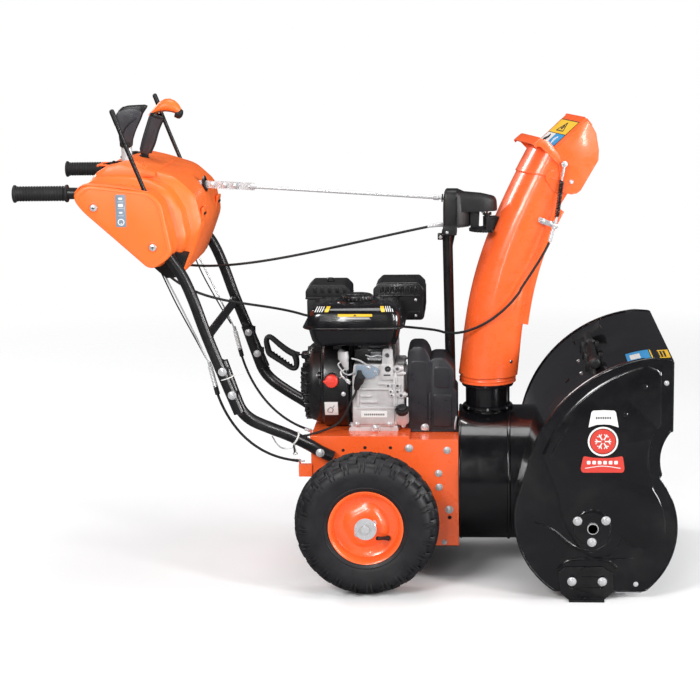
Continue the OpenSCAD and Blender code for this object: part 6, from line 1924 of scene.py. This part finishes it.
def cleanout():
    """Clean-out shovel that lies on the housing."""
    p = Piece("cleanout_shovel")
    x, z = 514, 529
    lo = mm_box("cleanout_tool")[0]
    p.lathe([(0, lo.y), (8, lo.y), (11, lo.y + 1.6), (12.8, lo.y + 5), (12.4, lo.y + 9),
             (11.4, lo.y + 12), (12.0, lo.y + 20), (12.9, lo.y + 34), (12.4, lo.y + 46),
             (10.4, lo.y + 52), (9.2, lo.y + 54), (9.2, -34), (14.6, -30), (14.8, -27), (14.4, -22),
             (10, -20), (10, 84), (8, 88), (0, 88)], (x, 0, z), (0, 1, 0), BLACK_PLASTIC, 40)
    for k in range(16):
        a = TAU * k / 16
        c, s = math.cos(a), math.sin(a)
        p.tube([(x + 11.2 * c, lo.y + 12, z + 11.2 * s), (x + 12.2 * c, lo.y + 22, z + 12.2 * s),
                (x + 12.6 * c, lo.y + 34, z + 12.6 * s), (x + 11.8 * c, lo.y + 46, z + 11.8 * s)], 0.9,
               BLACK_PLASTIC, 8)
    # hole in the handle's end, shown as a painted-shade disc
    p.lathe([(0, 0), (4.6, 0), (4.6, 0.6), (0, 0.6)], (x, lo.y - 0.2, z), (0, -1, 0), PAINTED_SHADE, 24)
    # dished blade with raised sides
    turn = Matrix.Translation((x, 86, z)) @ Matrix.Rotation(math.radians(-30), 4, "Y")
    p.place = turn
    rows = []
    for y, w, lift in ((0, 35.5, 3.4), (3, 37, 3.6), (16, 37.4, 3.2), (34, 37.6, 1.6), (60, 37.6, 0.4),
                       (90, 37.8, -0.6)):
        top, low = [], []
        for k in range(13):
            u = -1 + 2 * k / 12
            h = 5.5 * abs(u) ** 4 + lift - 3
            top.append((w * u, y, h + 1.4))
            low.append((w * u, y, h - 1.2))
        rows.append(top + low[::-1])
    p.loft(rows, BLACK_PLASTIC)
    for u in (-37, 37):
        p.box((u - 1.6, 1, -6), (u + 1.6, 24, 10), BLACK_PLASTIC, 1.2, 2)
    p.place = Matrix.Identity(4)
    p.make("cleanout_tool", "black_plastic", ["cleanout_tool"])


cleanout()


# ---------------------------------------------------------------- augers

def auger(side):
    """Ribbon auger of one side."""
    p = Piece("auger_ribbon_right" if side < 0 else "auger_ribbon_left")
    c = pivot("auger_spin")
    half = 310
    y0, y1 = side * 46, side * (half - 14)
    radius = (mm_box("auger_left")[1].x - mm_box("auger_left")[0].x) / 2
    inner = radius - 30
    turns = 1.1
    p.lathe([(12.6, 0), (16.4, 0), (17, 0.8), (17, abs(y1 - y0) - 0.8), (16.4, abs(y1 - y0)),
             (12.6, abs(y1 - y0))], (c.x, y0, c.z), (0, side, 0), BLACK_GLOSS, 40)
    steps = 110
    teeth = 34
    for phase in (0, math.pi):
        rows = []
        for i in range(steps + 1):
            w = i / steps
            a = phase + TAU * turns * w
            y = y0 + side * 6 + (y1 - y0 - side * 12) * w
            # notched rim: shallow scallops along the ribbon's outer edge
            tooth = 2.6 * max(0, math.sin(a * teeth / 2)) ** 0.6 if 0.02 < w < 0.98 else 2.6
            r1 = radius - 2.6 + tooth - 0.1
            ca, sa = math.cos(a), math.sin(a)
            ring = []
            for r, h in ((inner, -1.6), (inner - 0.5, 0), (inner, 1.6), (r1 - 0.8, 1.8), (r1, 0.9),
                         (r1, -0.9), (r1 - 0.8, -1.8)):
                ring.append((c.x + r * ca, y + h, c.z + r * sa))
            rows.append(ring)
        p.loft(rows, BLACK_GLOSS)
        for f in (0.02, 0.5, 0.98):
            a = phase + TAU * turns * f
            y = y0 + side * 6 + (y1 - y0 - side * 12) * f
            ca, sa = math.cos(a), math.sin(a)
            foot, tip = Vector((c.x + 15 * ca, y, c.z + 15 * sa)), Vector((c.x + (inner + 6) * ca, y,
                    c.z + (inner + 6) * sa))
            d = Vector((-sa, 0, ca))
            rows = []
            for t, wide, thick in ((0, 13, 4), (0.08, 11, 3), (0.5, 10, 2.6), (0.9, 11.5, 2.6),
                                   (1, 12.5, 2.6)):
                m = foot.lerp(tip, t)
                rows.append([m + d * wide + Vector((0, -thick, 0)), m + d * wide + Vector((0, thick, 0)),
                             m - d * wide + Vector((0, thick, 0)), m - d * wide + Vector((0, -thick, 0))])
            p.loft(rows, BLACK_GLOSS)
            p.lathe([(17, -5), (19.6, -3), (19.6, 3), (17, 5)], (c.x, y, c.z), (0, 1, 0), BLACK_GLOSS, 32)
    mid = (y0 + y1) / 2 - side * 60
    p.bolt((c.x + 16.6, mid, c.z), (1, 0, 0), 5)
    p.bolt((c.x - 16.6, mid, c.z), (-1, 0, 0), 5)
    p.make("auger", "black_paint", ["auger_right" if side < 0 else "auger_left"], sharp=40)


auger(-1)
auger(1)


def gearbox_details():
    """Ribs, bolts and seals of the auger gearbox."""
    p = Piece("gearbox_details")
    c = pivot("auger_spin")
    z = pivot("impeller_spin").z
    for k in range(8):
        a = TAU * k / 8 + 0.3
        for s in (-1, 1):
            p.bolt((c.x + 43 * math.cos(a), s * 34, c.z + 43 * math.sin(a)), (0, s, 0), 3.8, washer=False)
    p.lathe([(47.8, -3.4), (50.6, -3), (51, 0), (50.6, 3), (47.8, 3.4)], (c.x, 0, c.z), (0, 1, 0),
            CAST_IRON, 64)
    p.lathe([(26, 0), (29, 0.6), (29, 5), (26, 6)], (c.x - 70, 0, z), (1, 0, 0), CAST_IRON, 48)
    p.lathe([(0, 0), (22, 0), (24, 1), (24, 3), (20, 5), (0, 5.6)], (c.x + 41.6, 0, z), (1, 0, 0),
            CAST_IRON, 40)
    p.bolt((c.x + 10, 0, z + 25), (0, 0, 1), 6)
    p.make("frame", "gearbox_metal")


gearbox_details()


# ---------------------------------------------------------------- cables, springs and ties

def cables():
    """Clutch cables, lock cable and their springs and ties."""
    p = Piece("control_cables")
    q = Piece("clutch_return_springs")
    for s in (-1, 1):
        y = s * 222
        # inner wire, sleeve and return spring, then the outer cable down to the frame
        p.tube(smooth_path([(-462, y, 752), (-432, y, 690), (-400, y, 622), (-370, y, 556),
                            (-354, y, 521)], 6), 2.1, STEEL, 10)
        p.tube(smooth_path([(-466, y - s * 1, 752), (-452, y - s * 8, 716), (-428, y - s * 12, 660),
                            (-392, y - s * 10, 590), (-364, y - s * 4, 538)], 6), 1.7, RUBBER, 10)
        q.coil((-355, y, 522), (-342, y, 468), 5.0, 1.05, 15, STEEL, 8)
        p.rod((-343.6, y, 474), (-338.6, y, 454), 5.6, RUBBER, 20)
        p.rod((-356.6, y, 530), (-353.6, y, 519), 4.0, STEEL, 18)
        path = bezier([(-340, y, 458), (-318, s * 214, 380), (-262, s * 196, 298), (-162, s * 151, 280)],
                      26)
        p.tube(path, 3, RUBBER, 14)
        p.rod(path[-1], path[-1] + Vector((-16, s * 3, 2.4)), 3.5, STEEL, 16)
    # lock cable to the chute gear
    lock = bezier([(-446, 30, 716), (-300, 20, 698), (-80, -6, 764), (150, -20, 811)], 30)
    p.tube(lock, 3, RUBBER, 14)
    p.rod(lock[-1] - Vector((14, 0, 1.4)), lock[-1] + Vector((12, 0, 1)), 4, STEEL, 18)
    # cable ties round the near handle
    for x, z in ((-316, 500),):
        a = [(x + 16.5 * math.cos(TAU * k / 24) * 0.95 + 4, -256.5 + 15 * math.sin(TAU * k / 24),
              z + 5 * math.cos(TAU * k / 24)) for k in range(24)]
        p.tube(a, 1.1, NYLON, 8, closed=True)
        p.tube([(x + 20, -262, z + 6), (x + 34, -268, z + 10), (x + 46, -270, z + 12)], 1.0, NYLON, 8)
    p.make("frame", "grip_rubber", ["clutch_cables"])
    q.make("frame", "steel")


cables()


def flexing_parts():
    """Parts that join two bodies, built as they stand at rest."""
    # deflector cable: along the handles and past the engine to the clamp on the chute
    rear = bezier([(-462, -140, 722), (-380, -130, 640), (-280, 20, 630), (-170, 46, 592)], 22)
    middle = bezier([(-164, 46, 590), (-80, 46, 570), (120, 56, 557), (158, 4, 558)], 22)
    front = bezier([(166, -10, 558.6), (215, -76, 553), (300, -84, 592), (350, -66, 662)], 26)
    top = bezier([(353, -65, 669), (378, -60, 706), (404, -49, 742), (418, -44, 773)], 10)
    fixed = Piece("deflector_cable_rear")
    fixed.tube(rear + middle[:-2], 3, RUBBER, 14)
    fixed.make("frame", "grip_rubber")
    p = Piece("deflector_cable_bend")
    p.tube(middle[-3:] + front, 3, RUBBER, 14)
    bend = p.make(None, "grip_rubber", ["deflector_cable"])
    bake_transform(bend)
    q = Piece("deflector_cable_top")
    q.tube(front[-2:] + top, 3, RUBBER, 14)
    q.place = TURNED
    q.rod((399.5, -84, 775), (407, -83.4, 799), 4.6, STEEL, 20)
    q.rod((406, -83.4, 797), (414, -82.4, 822), 3.4, STEEL, 18)
    for x, y, z in ((408.6, -83.2, 804), (413, -82.6, 817)):
        q.lathe([(0, 0), (5.4, 0), (5.4, 4), (0, 4)], (x, y, z), (0.33, 0, 0.94), STEEL, 6)
    q.box((406, -86.0, 806), (421, -74.6, 815), STEEL, 1.2)
    q.make("chute", "steel")
    # spring between the clamp and the deflector's eyelet
    s = Piece("deflector_return_spring")
    s.place = TURNED
    s.coil((417.4, -82, 828), (430, -82, 917), 4.7, 1.35, 22, BLACK_SATIN, 8)
    s.rod((415, -82.2, 820), (418.4, -82, 832), 3.2, STEEL, 16)
    s.rod((429.4, -82, 914), (431.4, -82, 925), 2.2, STEEL, 14)
    spring = s.make(None, "black_plastic", ["deflector_spring"])
    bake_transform(spring)
    # starter rope
    r = Piece("starter_rope")
    n = 24
    a, b = Vector((-118, 0, 497)), Vector((-177, 0, 502.6))
    r.tube([a.lerp(b, i / n) for i in range(n + 1)], 2.4, RUBBER, 12)
    rope = r.make(None, "grip_rubber", ["recoil_rope"])
    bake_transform(rope)


flexing_parts()


# ---------------------------------------------------------------- floor, light and camera

def area_light(name, at, look, size, power, color=(1, 1, 1), size_y=None):
    """A rectangular lamp that the camera doesn't see."""
    data = bpy.data.lights.new(name, "AREA")
    data.shape = "RECTANGLE"
    data.size = size
    data.size_y = size_y or size
    data.energy = power
    data.color = color
    obj = bpy.data.objects.new(name, data)
    obj.visible_camera = False
    obj.location = at
    obj.rotation_euler = (Vector(look) - Vector(at)).to_track_quat("-Z", "Y").to_euler()
    bpy.context.scene.collection.objects.link(obj)
    return obj


def studio():
    """Pale floor, white surroundings and soft lamps."""
    white = material("studio_floor", (0.86, 0.86, 0.86), 0.75, grain=60, bump=0.01, mottle=0.006,
                     mottle_scale=2)
    # reflections see a dark floor, as with black flags laid round the set
    tree = white.node_tree
    bsdf = next(node for node in tree.nodes if node.type == "BSDF_PRINCIPLED")
    ray = tree.nodes.new("ShaderNodeLightPath")
    seen = bsdf.inputs["Base Color"].links[0].from_socket
    flagged = mix_rgb(tree, ray.outputs["Is Glossy Ray"], seen, (0.10, 0.10, 0.105, 1))
    tree.links.new(flagged, bsdf.inputs["Base Color"])
    # the floor fades into the white surroundings with distance
    place_on_floor = tree.nodes.new("ShaderNodeTexCoord")
    distance = tree.nodes.new("ShaderNodeVectorMath")
    distance.operation = "LENGTH"
    tree.links.new(place_on_floor.outputs["Object"], distance.inputs[0])
    fade = ranged(tree, distance.outputs["Value"], 0, 1, 1.3, 3.6)
    clear = tree.nodes.new("ShaderNodeBsdfTransparent")
    blend = tree.nodes.new("ShaderNodeMixShader")
    out = next(node for node in tree.nodes if node.type == "OUTPUT_MATERIAL")
    tree.links.new(fade, blend.inputs["Fac"])
    tree.links.new(bsdf.outputs["BSDF"], blend.inputs[1])
    tree.links.new(clear.outputs["BSDF"], blend.inputs[2])
    tree.links.new(blend.outputs["Shader"], out.inputs["Surface"])
    mesh = bpy.data.meshes.new("studio_floor")
    reach = 8.0
    mesh.from_pydata([(-reach, -reach, -0.0004), (reach, -reach, -0.0004), (reach, reach, -0.0004),
                      (-reach, reach, -0.0004)], [], [(0, 1, 2, 3)])
    mesh.materials.append(white)
    floor = bpy.data.objects.new("studio_floor", mesh)
    bpy.context.scene.collection.objects.link(floor)
    world = bpy.data.worlds.new("studio")
    bpy.context.scene.world = world
    world.use_nodes = True
    tree = world.node_tree
    back = tree.nodes["Background"]
    path = tree.nodes.new("ShaderNodeLightPath")
    # the backdrop is white to the eye and dim in reflections, as with black flags round the set
    tone = mix_rgb(tree, path.outputs["Is Camera Ray"], (0.42, 0.42, 0.43, 1), (1, 1, 1, 1))
    tone = mix_rgb(tree, path.outputs["Is Glossy Ray"], tone, (0.05, 0.05, 0.055, 1))
    tree.links.new(tone, back.inputs["Color"])
    back.inputs["Strength"].default_value = 1.0
    area_light("key", (-1.8, -3.6, 3.0), (0, 0, 0.5), 1.3, 118, size_y=1.3)
    area_light("side_strip", (-0.5, -4.7, 2.0), (0.2, 0, 0.6), 0.14, 34, size_y=2.6)
    area_light("front_strip", (3.0, -2.4, 1.9), (0.2, 0, 0.5), 0.35, 75, size_y=2.2)
    area_light("top", (0.2, 0.3, 4.2), (0, 0, 0), 2.0, 55)
    area_light("inside_fill", (3.6, -0.5, 1.0), (0.4, 0, 0.3), 1.0, 75)
    area_light("rim", (-2.8, 2.4, 2.6), (0, 0, 0.5), 1.2, 60)
    scene = bpy.context.scene
    scene.view_settings.view_transform = "Standard"
    scene.view_settings.exposure = 0.0


def camera():
    """The photograph's own viewpoint: near side, a little above, a little towards the front."""
    yaw, pitch, roll = -0.0731, 0.1934, -0.0174
    forward = Vector((math.sin(yaw) * math.cos(pitch), math.cos(yaw) * math.cos(pitch), -math.sin(pitch)))
    right = Vector((math.cos(yaw), -math.sin(yaw), 0))
    up = right.cross(forward)
    r2 = right * math.cos(roll) + up * math.sin(roll)
    u2 = up * math.cos(roll) - right * math.sin(roll)
    data = bpy.data.cameras.new("camera")
    data.sensor_width = 36
    data.lens = 99.0
    data.clip_end = 60
    obj = bpy.data.objects.new("camera", data)
    turn = Matrix((r2, u2, -forward)).transposed().to_4x4()
    obj.matrix_world = Matrix.Translation(Vector((0.2769, -4.4777, 1.3918)) + AXLE * MM) @ turn
    bpy.context.scene.collection.objects.link(obj)
    bpy.context.scene.camera = obj


studio()
camera()
